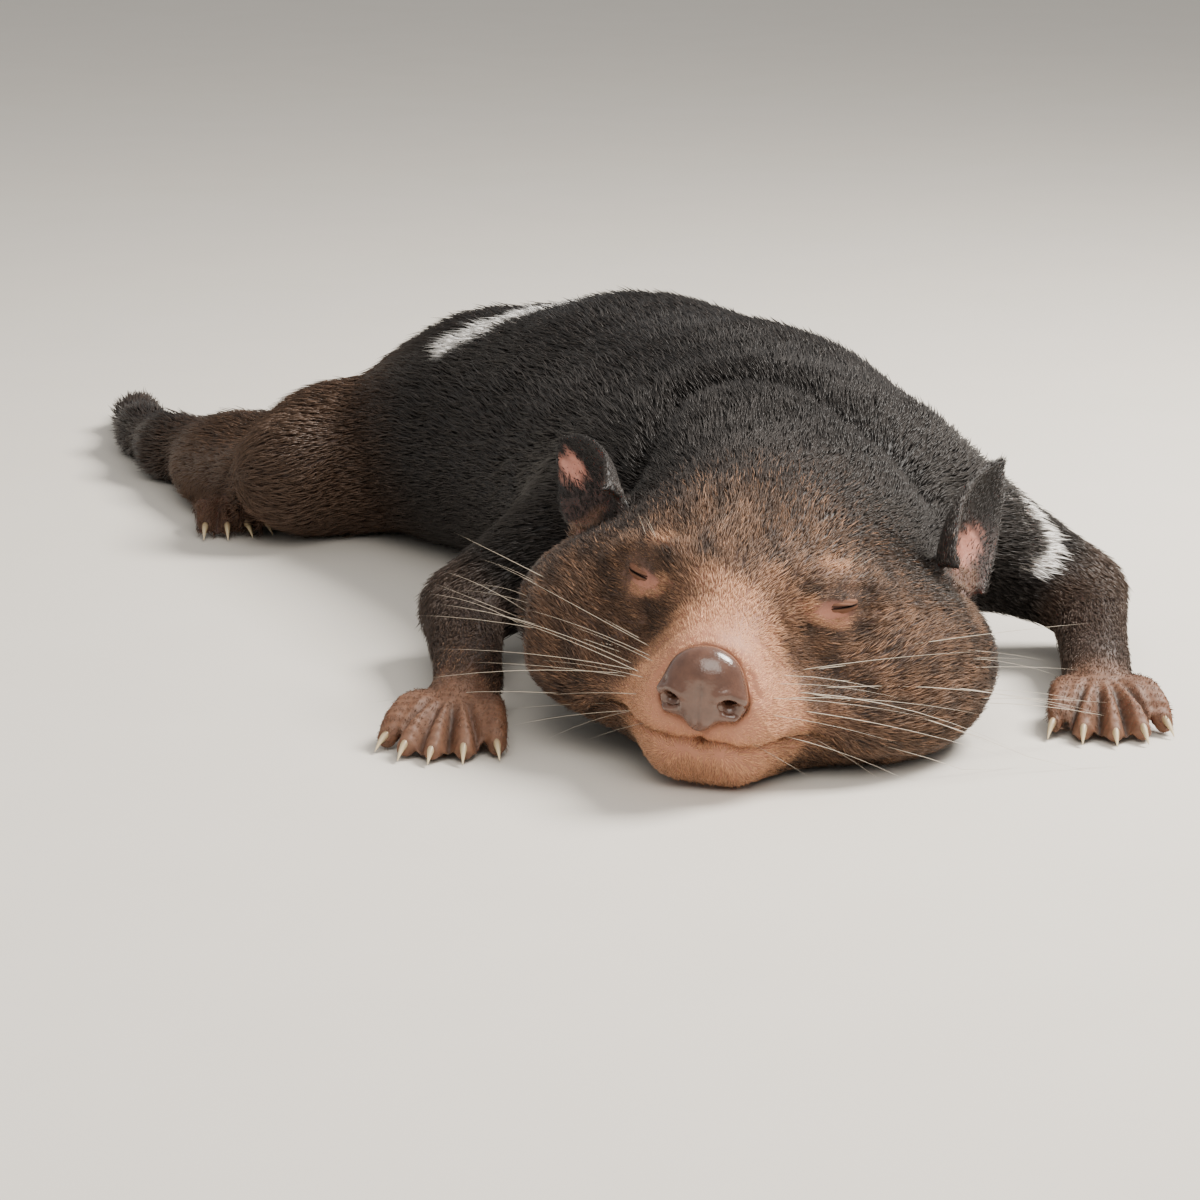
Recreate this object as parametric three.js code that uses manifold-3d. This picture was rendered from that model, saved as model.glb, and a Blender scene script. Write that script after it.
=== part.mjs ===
// Tasmanian devil asleep on its belly, life size, as a still museum model.
// Millimetres. Z is up, the animal faces -Y and its left side is toward +X.
// The body is one smooth shape, cut into named lengths that meet across a thin gap.

import * as THREE from "three";
import { mergeVertices } from "three/addons/utils/BufferGeometryUtils.js";
import Module from "manifold-3d";

const wasm = await Module();
wasm.setup();

// General sizes
const GAP = 0.3;
const FAR = 1200;
const FLOOR = 0;

// Size of the facets on each part of the body
const CELL = {
  head: 6.55,
  neck: 13,
  torso: 18,
  arm: 11,
  forearm: 8.5,
  palm: 7,
  thigh: 13,
  shank: 9,
  foot: 8,
  tail: 11,
  tailEnd: 8,
  nose: 2.9,
};

// Place and turn of the head. Its own origin is the middle of the nose pad.
const HEAD_AT = [2, -18, 38];
const HEAD_YAW = -14;
const HEAD_ROLL = 6;
const HEAD_PITCH = 0;

// Joints of the spine, with half the width and half the height of the body there
const SPINE = [
  { at: [34, 118, 53], wide: 54, high: 46 },
  { at: [33, 158, 52], wide: 66, high: 52 },
  { at: [15, 222, 52], wide: 74, high: 55 },
  { at: [-17, 290, 52], wide: 70, high: 54 },
  { at: [-68, 342, 45], wide: 56, high: 47 },
  { at: [-130, 384, 26], wide: 29, high: 26 },
];
const SPINE_BLEND = 22;

// Head, in its own axes: x to the left ear, y toward the neck, z up
const SKULL = {
  crown: { at: [0, 92, 10], size: [50, 56, 44] },
  brow: { at: [0, 60, 10], size: [31, 30, 22] },
  cheek: { at: [49, 84, -6], size: [33, 42, 29] },
  jowl: { at: [38, 66, -16], size: [32, 40, 17] },
};
const MUZZLE = { root: [0, 54, 2], rootRadius: 28, tip: [0, 19, -2], tipRadius: 18 };
const LIP_PAD = { at: [12, 17, -11], back: [27, 54, -15], radius: 13, backRadius: 16 };
const CHIN = { at: [7.5, 20, -24], radius: 14, back: [20, 66, -19], backRadius: 24 };
const BROW_RIDGE = { inner: [19, 46, 25], outer: [40, 62, 22], radius: 7 };
const HEAD_BLEND = 9;

// Mouth line, which parts the lower jaw from the head
const MOUTH = { front: [0, -16, -20.5], corner: [0, 58, -17], wide: 96, deep: 40 };

// Nose pad and its nostrils
const NOSE = {
  pad: { at: [0, 4, 1], size: [12.6, 8.5, 11] },
  wing: { at: [8.8, 3, -4.6], size: [5.8, 7, 6.4] },
  lip: { at: [0, 3, -9.5], size: [5.5, 6.5, 6] },
  nostril: { front: [10.3, -7, -5.5], back: [8.1, 5, -2.6], radius: 2.5 },
  slit: { front: [11.6, -5, -6.7], back: [15, 2, -6.5], radius: 1.2 },
  groove: { top: [0, -5.6, 1], foot: [0, -5, -16], radius: 0.9 },
  blend: 3,
};

// Closed eye: an upper and a lower lid over a small ball, parted by the slit
const EYE = { at: [30, 50, 20], size: [7.8, 6.6, 5.2], sunk: 4.6, slit: 0.5, drop: 0.8, tilt: -8 };

// Ear: a cupped leaf that lies back, the right one lower than the left
const EAR = {
  at: [66, 102, 28],
  long: 46,
  sunk: 8,
  curl: 4,
  wide: 14,
  thick: 2.4,
  rim: 1.5,
  along: 9,
  across: 8,
  lean: { left: [0.22, 0.56, 0.8], right: [-0.6, 0.72, 0.36] },
  face: { left: [0.84, -0.54, 0.05], right: [-0.6, -0.7, 0.35] },
  cup: 240,
  open: 110,
};

// Forelegs. The right one is toward -X.
const FORE = {
  left: {
    shoulder: [76, 158, 56],
    elbow: [144, 168, 23],
    wrist: [140, 99, 14],
    palm: [139, 84, 9],
    aim: [0.02, -1],
  },
  right: {
    shoulder: [-14, 168, 54],
    elbow: [-79, 152, 21],
    wrist: [-74, 80, 14],
    palm: [-77, 62, 9],
    aim: [-0.2, -1],
  },
};
const FORE_RADIUS = { shoulder: 33, elbow: 16.5, wrist: 12, palm: 13.5 };
const FORE_BLEND = 14;
const FOREARM_OUT = 4.5;

// Hind legs, folded at the side of the rump
const HIND = {
  left: {
    hip: [-58, 384, 38],
    knee: [-14, 384, 30],
    ankle: [-58, 438, 13],
    ball: [3, 402, 8],
    root: [-50, 366, 40],
    out: [0.66, 0.75, 0],
  },
  right: {
    hip: [-138, 364, 28],
    knee: [-154, 337, 30],
    ankle: [-202, 420, 12],
    ball: [-184, 369, 8],
    root: [-106, 346, 40],
    out: [-0.66, -0.75, 0],
  },
};
const HIND_RADIUS = { hip: 36, knee: 25, shank: 15, ankle: 11, foot: 9 };
const HIND_BLEND = 12;

// Cuts across the spine, from nose to rump
const CUT = {
  front: { at: [0, -400, 0], along: [0, 1, 0] },
  nape: { at: [20, 102, 50], along: [0.1, 1, 0.05] },
  withers: { at: [30, 142, 50], along: [0, 1, 0] },
  waist: { at: [4, 238, 50], along: [-0.35, 1, 0] },
  loins: { at: [-48, 318, 50], along: [-0.75, 0.8, 0] },
  end: { at: [-300, 600, 0], along: [-0.6, 0.8, 0] },
};

// Tail, laid on the ground and curling away
const TAIL = [
  { at: [-136, 390, 25], radius: 25 },
  { at: [-182, 420, 18], radius: 19 },
  { at: [-214, 462, 13.5], radius: 14 },
  { at: [-232, 512, 10.5], radius: 11 },
  { at: [-241, 562, 7.5], radius: 8 },
  { at: [-244, 606, 5], radius: 5.5 },
];

// Digits: bone lengths as parts of the hand, and the claws
const DIGIT = {
  fan: [-18, -8, -1, 7, 17],
  across: [-11, -5.5, 0, 5.5, 11],
  reach: [25, 33, 35, 33, 27],
  radius: 4.9,
  tip: 4.1,
  knuckle: 11.5,
  sides: 6,
};
const HIND_DIGIT = {
  fan: [-12, -4, 4, 12],
  across: [-9, -3, 3, 9],
  reach: [17, 20, 20, 17],
  radius: 4.4,
};
const CLAW = { length: 8.5, radius: 1.6, bend: 52, sides: 6, rings: 3, drop: 1.2 };

// Colours of the plain solids
const COLOUR = { coat: 0x2b2421, bare: 0x8a6653, nose: 0x4a3d3c, claw: 0xd8c8a4 };

const rad = THREE.MathUtils.degToRad;
const vec = (p) => new THREE.Vector3(p[0], p[1], p[2]);

// Axes of the head
const headFrame = new THREE.Matrix4()
  .makeTranslation(HEAD_AT[0], HEAD_AT[1], HEAD_AT[2])
  .multiply(new THREE.Matrix4().makeRotationZ(rad(HEAD_YAW)))
  .multiply(new THREE.Matrix4().makeRotationY(rad(HEAD_ROLL)))
  .multiply(new THREE.Matrix4().makeRotationX(rad(HEAD_PITCH)));

// Distance to an ellipsoid, near its surface
function ellipsoid(at, size) {
  const [cx, cy, cz] = at;
  const [rx, ry, rz] = size;
  return (x, y, z) => {
    const u = x - cx;
    const v = y - cy;
    const w = z - cz;
    const near = Math.hypot(u / rx, v / ry, w / rz);
    const slope = Math.hypot(u / (rx * rx), v / (ry * ry), w / (rz * rz));
    return slope > 0 ? (near * (near - 1)) / slope : -Math.min(rx, ry, rz);
  };
}

// Distance to a rod from a to b whose radius runs from ra to rb
function rod(a, ra, b, rb, flat = 1) {
  const [ax, ay, az] = a;
  const dx = b[0] - ax;
  const dy = b[1] - ay;
  const dz = (b[2] - az) / flat;
  const span = dx * dx + dy * dy + dz * dz;
  const easing = Math.min(1, flat) * 0.5 + 0.5;
  return (x, y, z) => {
    const u = x - ax;
    const v = y - ay;
    const w = (z - az) / flat;
    const t = Math.min(1, Math.max(0, (u * dx + v * dy + w * dz) / span));
    const far = Math.hypot(u - t * dx, v - t * dy, w - t * dz);
    return (far - ra - t * (rb - ra)) * easing;
  };
}

// Joins two distances with a fillet of about the given size
function fillet(a, b, size) {
  const h = Math.max(size - Math.abs(a - b), 0) / size;
  return Math.min(a, b) - (h * h * size) / 4;
}

// One shape from several, each with its own fillet
function joined(shapes) {
  return (x, y, z) => {
    let d = shapes[0].field(x, y, z);
    for (let i = 1; i < shapes.length; i += 1) {
      d = fillet(d, shapes[i].field(x, y, z), shapes[i].blend);
    }
    return d;
  };
}

// A shape given in the axes of a frame, as a shape in the common axes
function placed(frame, field) {
  const e = frame.clone().invert().elements;
  return (x, y, z) =>
    field(
      e[0] * x + e[4] * y + e[8] * z + e[12],
      e[1] * x + e[5] * y + e[9] * z + e[13],
      e[2] * x + e[6] * y + e[10] * z + e[14]
    );
}

const mirrored = (p, side) => [p[0] * side, p[1], p[2]];

// The head without the nose pad
function headField() {
  const shapes = [];
  const add = (field, blend = HEAD_BLEND) => shapes.push({ field, blend });
  add(ellipsoid(SKULL.crown.at, SKULL.crown.size));
  add(ellipsoid(SKULL.brow.at, SKULL.brow.size), 16);
  add(rod(MUZZLE.root, MUZZLE.rootRadius, MUZZLE.tip, MUZZLE.tipRadius), 12);
  for (const side of [1, -1]) {
    const chin = mirrored(CHIN.at, side);
    add(rod(chin, CHIN.radius, mirrored(CHIN.back, side), CHIN.backRadius), 6);
    add(ellipsoid(mirrored(SKULL.cheek.at, side), SKULL.cheek.size), 18);
    add(ellipsoid(mirrored(SKULL.jowl.at, side), SKULL.jowl.size), 12);
    const pad = mirrored(LIP_PAD.at, side);
    const padBack = mirrored(LIP_PAD.back, side);
    add(rod(pad, LIP_PAD.radius, padBack, LIP_PAD.backRadius), 6);
    const inner = mirrored(BROW_RIDGE.inner, side);
    const outer = mirrored(BROW_RIDGE.outer, side);
    add(rod(inner, BROW_RIDGE.radius, outer, BROW_RIDGE.radius), 8);
  }
  return placed(headFrame, joined(shapes));
}

// A length of the torso, with its own width and height at each end
function torsoLength(a, b) {
  const flat = (a.high / a.wide + b.high / b.wide) / 2;
  return rod(a.at, a.wide, b.at, b.wide, flat);
}

// The whole animal but for digits, claws, ears and nose pad
function bodyField() {
  const shapes = [];
  const add = (field, blend) => shapes.push({ field, blend });
  for (let i = 0; i + 1 < SPINE.length; i += 1) {
    add(torsoLength(SPINE[i], SPINE[i + 1]), SPINE_BLEND);
  }
  add(headField(), 20);
  for (const leg of [FORE.left, FORE.right]) {
    add(rod(leg.shoulder, FORE_RADIUS.shoulder, leg.elbow, FORE_RADIUS.elbow), FORE_BLEND);
    add(rod(leg.elbow, FORE_RADIUS.elbow, leg.wrist, FORE_RADIUS.wrist), 4);
    add(rod(leg.wrist, FORE_RADIUS.wrist, leg.palm, FORE_RADIUS.palm, 0.8), 4);
  }
  for (const leg of [HIND.left, HIND.right]) {
    add(rod(leg.hip, HIND_RADIUS.hip, leg.knee, HIND_RADIUS.knee), HIND_BLEND);
    add(rod(leg.knee, HIND_RADIUS.shank, leg.ankle, HIND_RADIUS.ankle), 6);
    add(rod(leg.ankle, HIND_RADIUS.ankle, leg.ball, HIND_RADIUS.foot, 0.8), 3);
  }
  for (let i = 0; i + 1 < TAIL.length; i += 1) {
    add(rod(TAIL[i].at, TAIL[i].radius, TAIL[i + 1].at, TAIL[i + 1].radius), 10);
  }
  return joined(shapes);
}

// The nose pad, whole or with its nostrils and the groove in its middle
function noseField(pierced) {
  const shapes = [{ field: ellipsoid(NOSE.pad.at, NOSE.pad.size), blend: NOSE.blend }];
  const add = (field) => shapes.push({ field, blend: NOSE.blend });
  add(ellipsoid(NOSE.lip.at, NOSE.lip.size));
  const holes = [];
  for (const side of [1, -1]) {
    add(ellipsoid(mirrored(NOSE.wing.at, side), NOSE.wing.size));
    for (const hole of [NOSE.nostril, NOSE.slit]) {
      const front = mirrored(hole.front, side);
      holes.push(rod(front, hole.radius, mirrored(hole.back, side), hole.radius));
    }
  }
  const groove = NOSE.groove;
  holes.push(rod(groove.top, groove.radius, groove.foot, groove.radius));
  const pad = joined(shapes);
  if (!pierced) {
    return pad;
  }
  return (x, y, z) => {
    let d = pad(x, y, z);
    for (const hole of holes) {
      d = Math.max(d, -hole(x, y, z));
    }
    return d;
  };
}

// Moves a point along the slope of a field onto its surface
function settle(field, p, level, limit) {
  const step = 0.4;
  const start = p.slice();
  for (let i = 0; i < 3; i += 1) {
    const d = field(p[0], p[1], p[2]) - level;
    const slope = [0, 1, 2].map((k) => {
      const q = p.slice();
      q[k] += step;
      const r = p.slice();
      r[k] -= step;
      return (field(q[0], q[1], q[2]) - field(r[0], r[1], r[2])) / (2 * step);
    });
    const size = slope[0] ** 2 + slope[1] ** 2 + slope[2] ** 2 + 1e-6;
    for (let k = 0; k < 3; k += 1) {
      const moved = p[k] - (d * slope[k]) / size;
      p[k] = Math.min(start[k] + limit, Math.max(start[k] - limit, moved));
    }
  }
  return p;
}

// Closed surface of a field inside a box, with facets of about the cell's size
function surface(field, low, high, cell, level = 0) {
  const count = [0, 1, 2].map((k) => Math.ceil((high[k] - low[k]) / cell) + 1);
  const [nx, ny, nz] = count;
  const at = (i, j, k) => (k * ny + j) * nx + i;
  const value = new Float32Array(nx * ny * nz);
  for (let k = 0; k < nz; k += 1) {
    for (let j = 0; j < ny; j += 1) {
      for (let i = 0; i < nx; i += 1) {
        const edge = Math.min(i, j, k, nx - 1 - i, ny - 1 - j, nz - 1 - k) === 0;
        const d = field(low[0] + i * cell, low[1] + j * cell, low[2] + k * cell);
        value[at(i, j, k)] = edge ? cell : d - level;
      }
    }
  }
  untangle(value, at, count);
  const corners = [];
  const index = new Int32Array(nx * ny * nz).fill(-1);
  for (let k = 0; k + 1 < nz; k += 1) {
    for (let j = 0; j + 1 < ny; j += 1) {
      for (let i = 0; i + 1 < nx; i += 1) {
        const point = middle(value, at, i, j, k);
        if (point) {
          const inside = Math.min(i, j, k, nx - 2 - i, ny - 2 - j, nz - 2 - k) > 0;
          const p = point.map((t, n) => low[n] + t * cell);
          index[at(i, j, k)] = corners.length;
          corners.push(inside ? settle(field, p, level, cell * 0.45) : p);
        }
      }
    }
  }
  const faces = [];
  const axes = [
    [1, 0, 0],
    [0, 1, 0],
    [0, 0, 1],
  ];
  for (let k = 1; k + 1 < nz; k += 1) {
    for (let j = 1; j + 1 < ny; j += 1) {
      for (let i = 1; i + 1 < nx; i += 1) {
        for (let n = 0; n < 3; n += 1) {
          const a = axes[n];
          const b = axes[(n + 1) % 3];
          const c = axes[(n + 2) % 3];
          for (const way of [1, -1]) {
            const here = value[at(i, j, k)];
            const next = value[at(i + way * a[0], j + way * a[1], k + way * a[2])];
            if (here < 0 && next >= 0) {
              const base = way > 0 ? [i, j, k] : [i - a[0], j - a[1], k - a[2]];
              const cellAt = (s, t) =>
                index[
                  at(
                    base[0] - s * b[0] - t * c[0],
                    base[1] - s * b[1] - t * c[1],
                    base[2] - s * b[2] - t * c[2]
                  )
                ];
              const ring = [cellAt(0, 0), cellAt(1, 0), cellAt(1, 1), cellAt(0, 1)];
              if (way < 0) {
                ring.reverse();
              }
              faces.push(...halves(corners, ring));
            }
          }
        }
      }
    }
  }
  const geometry = new THREE.BufferGeometry();
  geometry.setAttribute("position", new THREE.Float32BufferAttribute(corners.flat(), 3));
  geometry.setIndex(faces);
  return geometry;
}

// Fills the grid squares that the surface would cross twice, so that it never meets itself
function untangle(value, at, [nx, ny, nz]) {
  const steps = [
    [1, 0, 0],
    [0, 1, 0],
    [0, 0, 1],
  ];
  let changed = true;
  while (changed) {
    changed = false;
    for (let k = 1; k + 2 < nz; k += 1) {
      for (let j = 1; j + 2 < ny; j += 1) {
        for (let i = 1; i + 2 < nx; i += 1) {
          for (let n = 0; n < 3; n += 1) {
            const b = steps[n];
            const c = steps[(n + 1) % 3];
            const ring = [
              at(i, j, k),
              at(i + b[0], j + b[1], k + b[2]),
              at(i + b[0] + c[0], j + b[1] + c[1], k + b[2] + c[2]),
              at(i + c[0], j + c[1], k + c[2]),
            ];
            const solid = ring.map((m) => value[m] < 0);
            if (solid[0] === solid[2] && solid[1] === solid[3] && solid[0] !== solid[1]) {
              const empty = ring.filter((m) => value[m] >= 0);
              empty.sort((p, q) => value[p] - value[q]);
              value[empty[0]] = -0.05;
              changed = true;
            }
          }
        }
      }
    }
  }
}

// Mean of the places where the surface crosses the edges of a cell, or null
function middle(value, at, i, j, k) {
  const sum = [0, 0, 0];
  let hits = 0;
  for (let n = 0; n < 12; n += 1) {
    const axis = n >> 2;
    const from = [0, 0, 0];
    from[(axis + 1) % 3] = n & 1;
    from[(axis + 2) % 3] = (n >> 1) & 1;
    const to = from.slice();
    to[axis] = 1;
    const a = value[at(i + from[0], j + from[1], k + from[2])];
    const b = value[at(i + to[0], j + to[1], k + to[2])];
    if (a < 0 !== b < 0) {
      const t = a / (a - b);
      for (let m = 0; m < 3; m += 1) {
        sum[m] += from[m] + t * (to[m] - from[m]);
      }
      hits += 1;
    }
  }
  return hits ? [i + sum[0] / hits, j + sum[1] / hits, k + sum[2] / hits] : null;
}

// Two triangles of a four-sided face, parted along its shorter diagonal
function halves(corners, [a, b, c, d]) {
  const long = (p, q) =>
    Math.hypot(
      corners[p][0] - corners[q][0],
      corners[p][1] - corners[q][1],
      corners[p][2] - corners[q][2]
    );
  return long(a, c) <= long(b, d) ? [a, b, c, a, c, d] : [a, b, d, b, c, d];
}

// A solid for joining and cutting, from a closed geometry
function solid(geometry, frame = null) {
  const shape = geometry.clone();
  shape.deleteAttribute("normal");
  shape.deleteAttribute("uv");
  const merged = mergeVertices(shape, 1e-4);
  if (frame) {
    merged.applyMatrix4(frame);
  }
  const mesh = new wasm.Mesh({
    numProp: 3,
    vertProperties: new Float32Array(merged.attributes.position.array),
    triVerts: new Uint32Array(merged.index.array),
  });
  return new wasm.Manifold(mesh);
}

// Axes with z along a direction, at a place
function aimed(at, along) {
  const z = vec(along).normalize();
  const up = Math.abs(z.z) > 0.99 ? vec([0, 1, 0]) : vec([0, 0, 1]);
  const x = new THREE.Vector3().crossVectors(up, z).normalize();
  const y = new THREE.Vector3().crossVectors(z, x);
  return new THREE.Matrix4().makeBasis(x, y, z).setPosition(...at);
}

// The half of space that a direction points into, from a place
function halfSpace(at, along, shift = 0) {
  const box = new THREE.BoxGeometry(FAR, FAR, FAR);
  box.translate(0, 0, FAR / 2 + shift);
  return solid(box, aimed(at, along));
}

// A box around a length of limb: from just past one joint to beyond the next
function sleeve(from, to, past, wide, high, gap = 0) {
  const along = vec(to).sub(vec(from));
  const long = along.length() + past;
  const box = new THREE.BoxGeometry(2 * (wide + gap), 2 * (high + gap), long + 2 * gap);
  box.translate(0, 0, long / 2);
  return solid(box, aimed(from, along.toArray()));
}

// The largest closed body of a solid
function largest(shape) {
  const bodies = shape.decompose();
  bodies.sort((a, b) => b.volume() - a.volume());
  return bodies[0];
}

const animal = bodyField();
const aboveFloor = halfSpace([0, 0, FLOOR], [0, 0, 1]);

// The animal's surface near a region, closed outside it
function fleshNear(region, cell, level = 0, field = animal) {
  const { min, max } = region.boundingBox();
  const edge = new THREE.Box3(vec([-290, -60, -12]), vec([210, 640, 140]));
  const box = new THREE.Box3(vec(min), vec(max)).intersect(edge).expandByScalar(cell * 2.2);
  return solid(surface(field, box.min.toArray(), box.max.toArray(), cell, level));
}

const group = new THREE.Group();
group.name = "tasmanian_devil";

// Adds a solid to the model as a named part
function place(name, shape, colour, rough = 0.8) {
  const out = shape.getMesh();
  const geometry = new THREE.BufferGeometry();
  const corners = new THREE.Float32BufferAttribute(out.vertProperties, 3);
  geometry.setAttribute("position", corners);
  geometry.setIndex(Array.from(out.triVerts));
  geometry.computeVertexNormals();
  const material = new THREE.MeshStandardMaterial({ color: colour, roughness: rough });
  const mesh = new THREE.Mesh(geometry, material);
  mesh.name = name;
  group.add(mesh);
}

// A round rod through rings of given centres and radii, with a point at its end
function taper(rings, sides, flat = 1) {
  const last = rings.length - 1;
  const corners = [];
  const faces = [];
  rings.forEach((ring, n) => {
    const before = vec(rings[Math.max(0, n - 1)].at);
    const along = vec(rings[Math.min(last, n + 1)].at).sub(before).normalize();
    const x = new THREE.Vector3().crossVectors(vec([0, 0, 1]), along).normalize();
    const y = new THREE.Vector3().crossVectors(along, x);
    for (let s = 0; s < sides; s += 1) {
      const turn = (2 * Math.PI * s) / sides;
      const p = vec(ring.at);
      p.addScaledVector(x, ring.radius * Math.cos(turn));
      p.addScaledVector(y, ring.radius * flat * Math.sin(turn));
      corners.push(...p.toArray());
    }
  });
  const tail = rings.length * sides;
  corners.push(...rings[0].at, ...rings[last].at);
  for (let n = 0; n <= last; n += 1) {
    for (let s = 0; s < sides; s += 1) {
      const next = (s + 1) % sides;
      const a = n * sides + s;
      const b = n * sides + next;
      if (n === 0) {
        faces.push(tail, b, a);
      }
      if (n === last) {
        faces.push(a, b, tail + 1);
      } else {
        faces.push(a, b, b + sides, a, b + sides, a + sides);
      }
    }
  }
  const geometry = new THREE.BufferGeometry();
  geometry.setAttribute("position", new THREE.Float32BufferAttribute(corners, 3));
  geometry.setIndex(faces);
  return solid(geometry);
}

// Rings for a rod with rounded ends along a bent line
function rounded(points, radii) {
  const rings = [];
  const last = points.length - 1;
  const start = vec(points[0]).sub(vec(points[1])).normalize();
  const end = vec(points[last]).sub(vec(points[last - 1])).normalize();
  const bulge = (at, way, radius, part) => {
    const turn = (part * Math.PI) / 2;
    const centre = vec(at).addScaledVector(way, radius * Math.sin(turn));
    rings.push({ at: centre.toArray(), radius: radius * Math.cos(turn) });
  };
  bulge(points[0], start, radii[0], 0.6);
  points.forEach((at, n) => rings.push({ at, radius: radii[n] }));
  bulge(points[last], end, radii[last], 0.4);
  bulge(points[last], end, radii[last], 0.78);
  return rings;
}

// One digit with its claw, from the middle of the hand toward a heading
function digit(palm, heading, reach, size, grow = 0) {
  const way = vec([Math.sin(heading), -Math.cos(heading), 0]);
  const root = vec(palm).addScaledVector(way, reach * 0.15).setZ(palm[2] + 2);
  const knuckle = vec(palm).addScaledVector(way, reach * 0.5).setZ(DIGIT.knuckle);
  const joint = vec(palm).addScaledVector(way, reach * 0.8).setZ(8.5);
  const tip = vec(palm).addScaledVector(way, reach).setZ(4);
  const points = [root, knuckle, joint, tip].map((p) => p.toArray());
  const radii = [size + 0.8, size + 0.3, size, DIGIT.tip].map((r) => r + grow);
  return { shape: taper(rounded(points, radii), DIGIT.sides), tip, way };
}

// A claw that curves down from the end of a digit
function claw(tip, way) {
  const rings = [];
  for (let n = 0; n <= CLAW.rings; n += 1) {
    const part = n / CLAW.rings;
    const turn = rad(CLAW.bend) * part;
    const run = CLAW.length * part;
    const at = vec([tip.x, tip.y, tip.z + CLAW.drop])
      .addScaledVector(way, run * Math.cos(turn * 0.6))
      .add(vec([0, 0, -run * Math.sin(turn * 0.6)]));
    at.z = Math.max(at.z, 0.5);
    rings.push({ at: at.toArray(), radius: CLAW.radius * (1 - 0.82 * part) });
  }
  return taper(rings, CLAW.sides, 1.25);
}

// Every region that is cut from the body, the farthest out first
const regions = [];

// Cuts one length of limb from the body, clear of all lengths already cut
function cutLimb(name, cell, from, to, past, wide, high, extra = []) {
  const region = sleeve(from, to, past, wide, high);
  let shape = fleshNear(region, cell).intersect(region);
  extra.forEach((part) => {
    shape = shape.add(part);
  });
  shape = shape.intersect(aboveFloor);
  regions.forEach((other) => {
    shape = shape.subtract(other);
  });
  place(name, largest(shape), COLOUR.coat);
  regions.push(sleeve(from, to, past, wide, high, GAP));
}

// Digits and claws of one foot
function digits(name, palm, heading, sign, plan, cell) {
  const shapes = [];
  const size = plan.radius;
  const space = new THREE.BoxGeometry(110, 110, 60);
  const flesh = fleshNear(solid(space.translate(...palm)), cell, GAP);
  plan.fan.forEach((turn, n) => {
    const way = heading + rad(turn * sign);
    const shift = plan.across[n] * sign;
    const at = [
      palm[0] + shift * Math.cos(heading),
      palm[1] + shift * Math.sin(heading),
      palm[2],
    ];
    const toe = digit(at, way, plan.reach[n], size);
    const grown = digit(at, way, plan.reach[n], size, GAP);
    shapes.push(toe.shape);
    const nail = claw(toe.tip, toe.way).subtract(grown.shape).subtract(flesh);
    place(`${name}_claw_${n + 1}`, largest(nail), COLOUR.claw, 0.45);
  });
  return shapes;
}

for (const side of ["left", "right"]) {
  const leg = FORE[side];
  const sign = side === "left" ? -1 : 1;
  const heading = Math.atan2(leg.aim[0], -leg.aim[1]);
  const toes = digits(`${side}_fore`, leg.palm, heading, sign, DIGIT, CELL.palm);
  cutLimb(`${side}_forepaw`, CELL.palm, leg.wrist, leg.palm, 60, 22, 40, toes);
  const outward = (p) => [p[0] - sign * FOREARM_OUT, p[1], p[2]];
  const [bend, hand] = [outward(leg.elbow), outward(leg.wrist)];
  cutLimb(`${side}_forearm`, CELL.forearm, bend, hand, 30, 18, 26);
  const root = vec(leg.shoulder).lerp(vec(leg.elbow), 0.3).toArray();
  cutLimb(`${side}_upper_arm`, CELL.arm, root, leg.elbow, 40, 42, 60);
}

// Tail
cutLimb("tail_tip", CELL.tailEnd, TAIL[3].at, TAIL[5].at, 30, 40, 30);
cutLimb("tail_middle", CELL.tail, TAIL[1].at, TAIL[3].at, 20, 40, 36);
const tailRoot = vec(TAIL[0].at).lerp(vec(TAIL[1].at), 0.4).toArray();
cutLimb("tail_base", CELL.tail, tailRoot, TAIL[1].at, 40, 40, 44);

// Hind legs. A thigh is parted from the rump along a plane beside the spine.
for (const side of ["left", "right"]) {
  const leg = HIND[side];
  const way = vec(leg.ball).sub(vec(leg.ankle));
  const heading = Math.atan2(way.x, -way.y);
  const toes = digits(`${side}_hind`, leg.ball, heading, 1, HIND_DIGIT, CELL.foot);
  const heel = vec(leg.ankle).lerp(vec(leg.ball), 0.2).toArray();
  cutLimb(`${side}_hind_foot`, CELL.foot, heel, leg.ball, 40, 17, 18, toes);
  cutLimb(`${side}_shank`, CELL.shank, leg.ankle, leg.knee, -14, 20, 24);
  const root = vec(leg.root);
  const out = root.clone().add(vec(leg.out).multiplyScalar(20)).toArray();
  cutLimb(`${side}_thigh`, CELL.thigh, leg.root, out, 80, 62, 70);
}

// A place on the head, brought onto its skin, with the direction out of it
function onSkin(at, level = 0) {
  const p = vec(at).applyMatrix4(headFrame).toArray();
  return settle(animal, p, level, 30);
}

// Nose pad
const pad = placed(headFrame, noseField(false));
const piercedPad = placed(headFrame, noseField(true));
const padLow = vec(HEAD_AT).subScalar(24).toArray();
const padHigh = vec(HEAD_AT).addScalar(26).toArray();
const nose = solid(surface(piercedPad, padLow, padHigh, CELL.nose));
const nosePocket = solid(surface(pad, padLow, padHigh, CELL.nose, GAP));
place("nose_pad", largest(nose), COLOUR.nose, 0.35);

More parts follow.
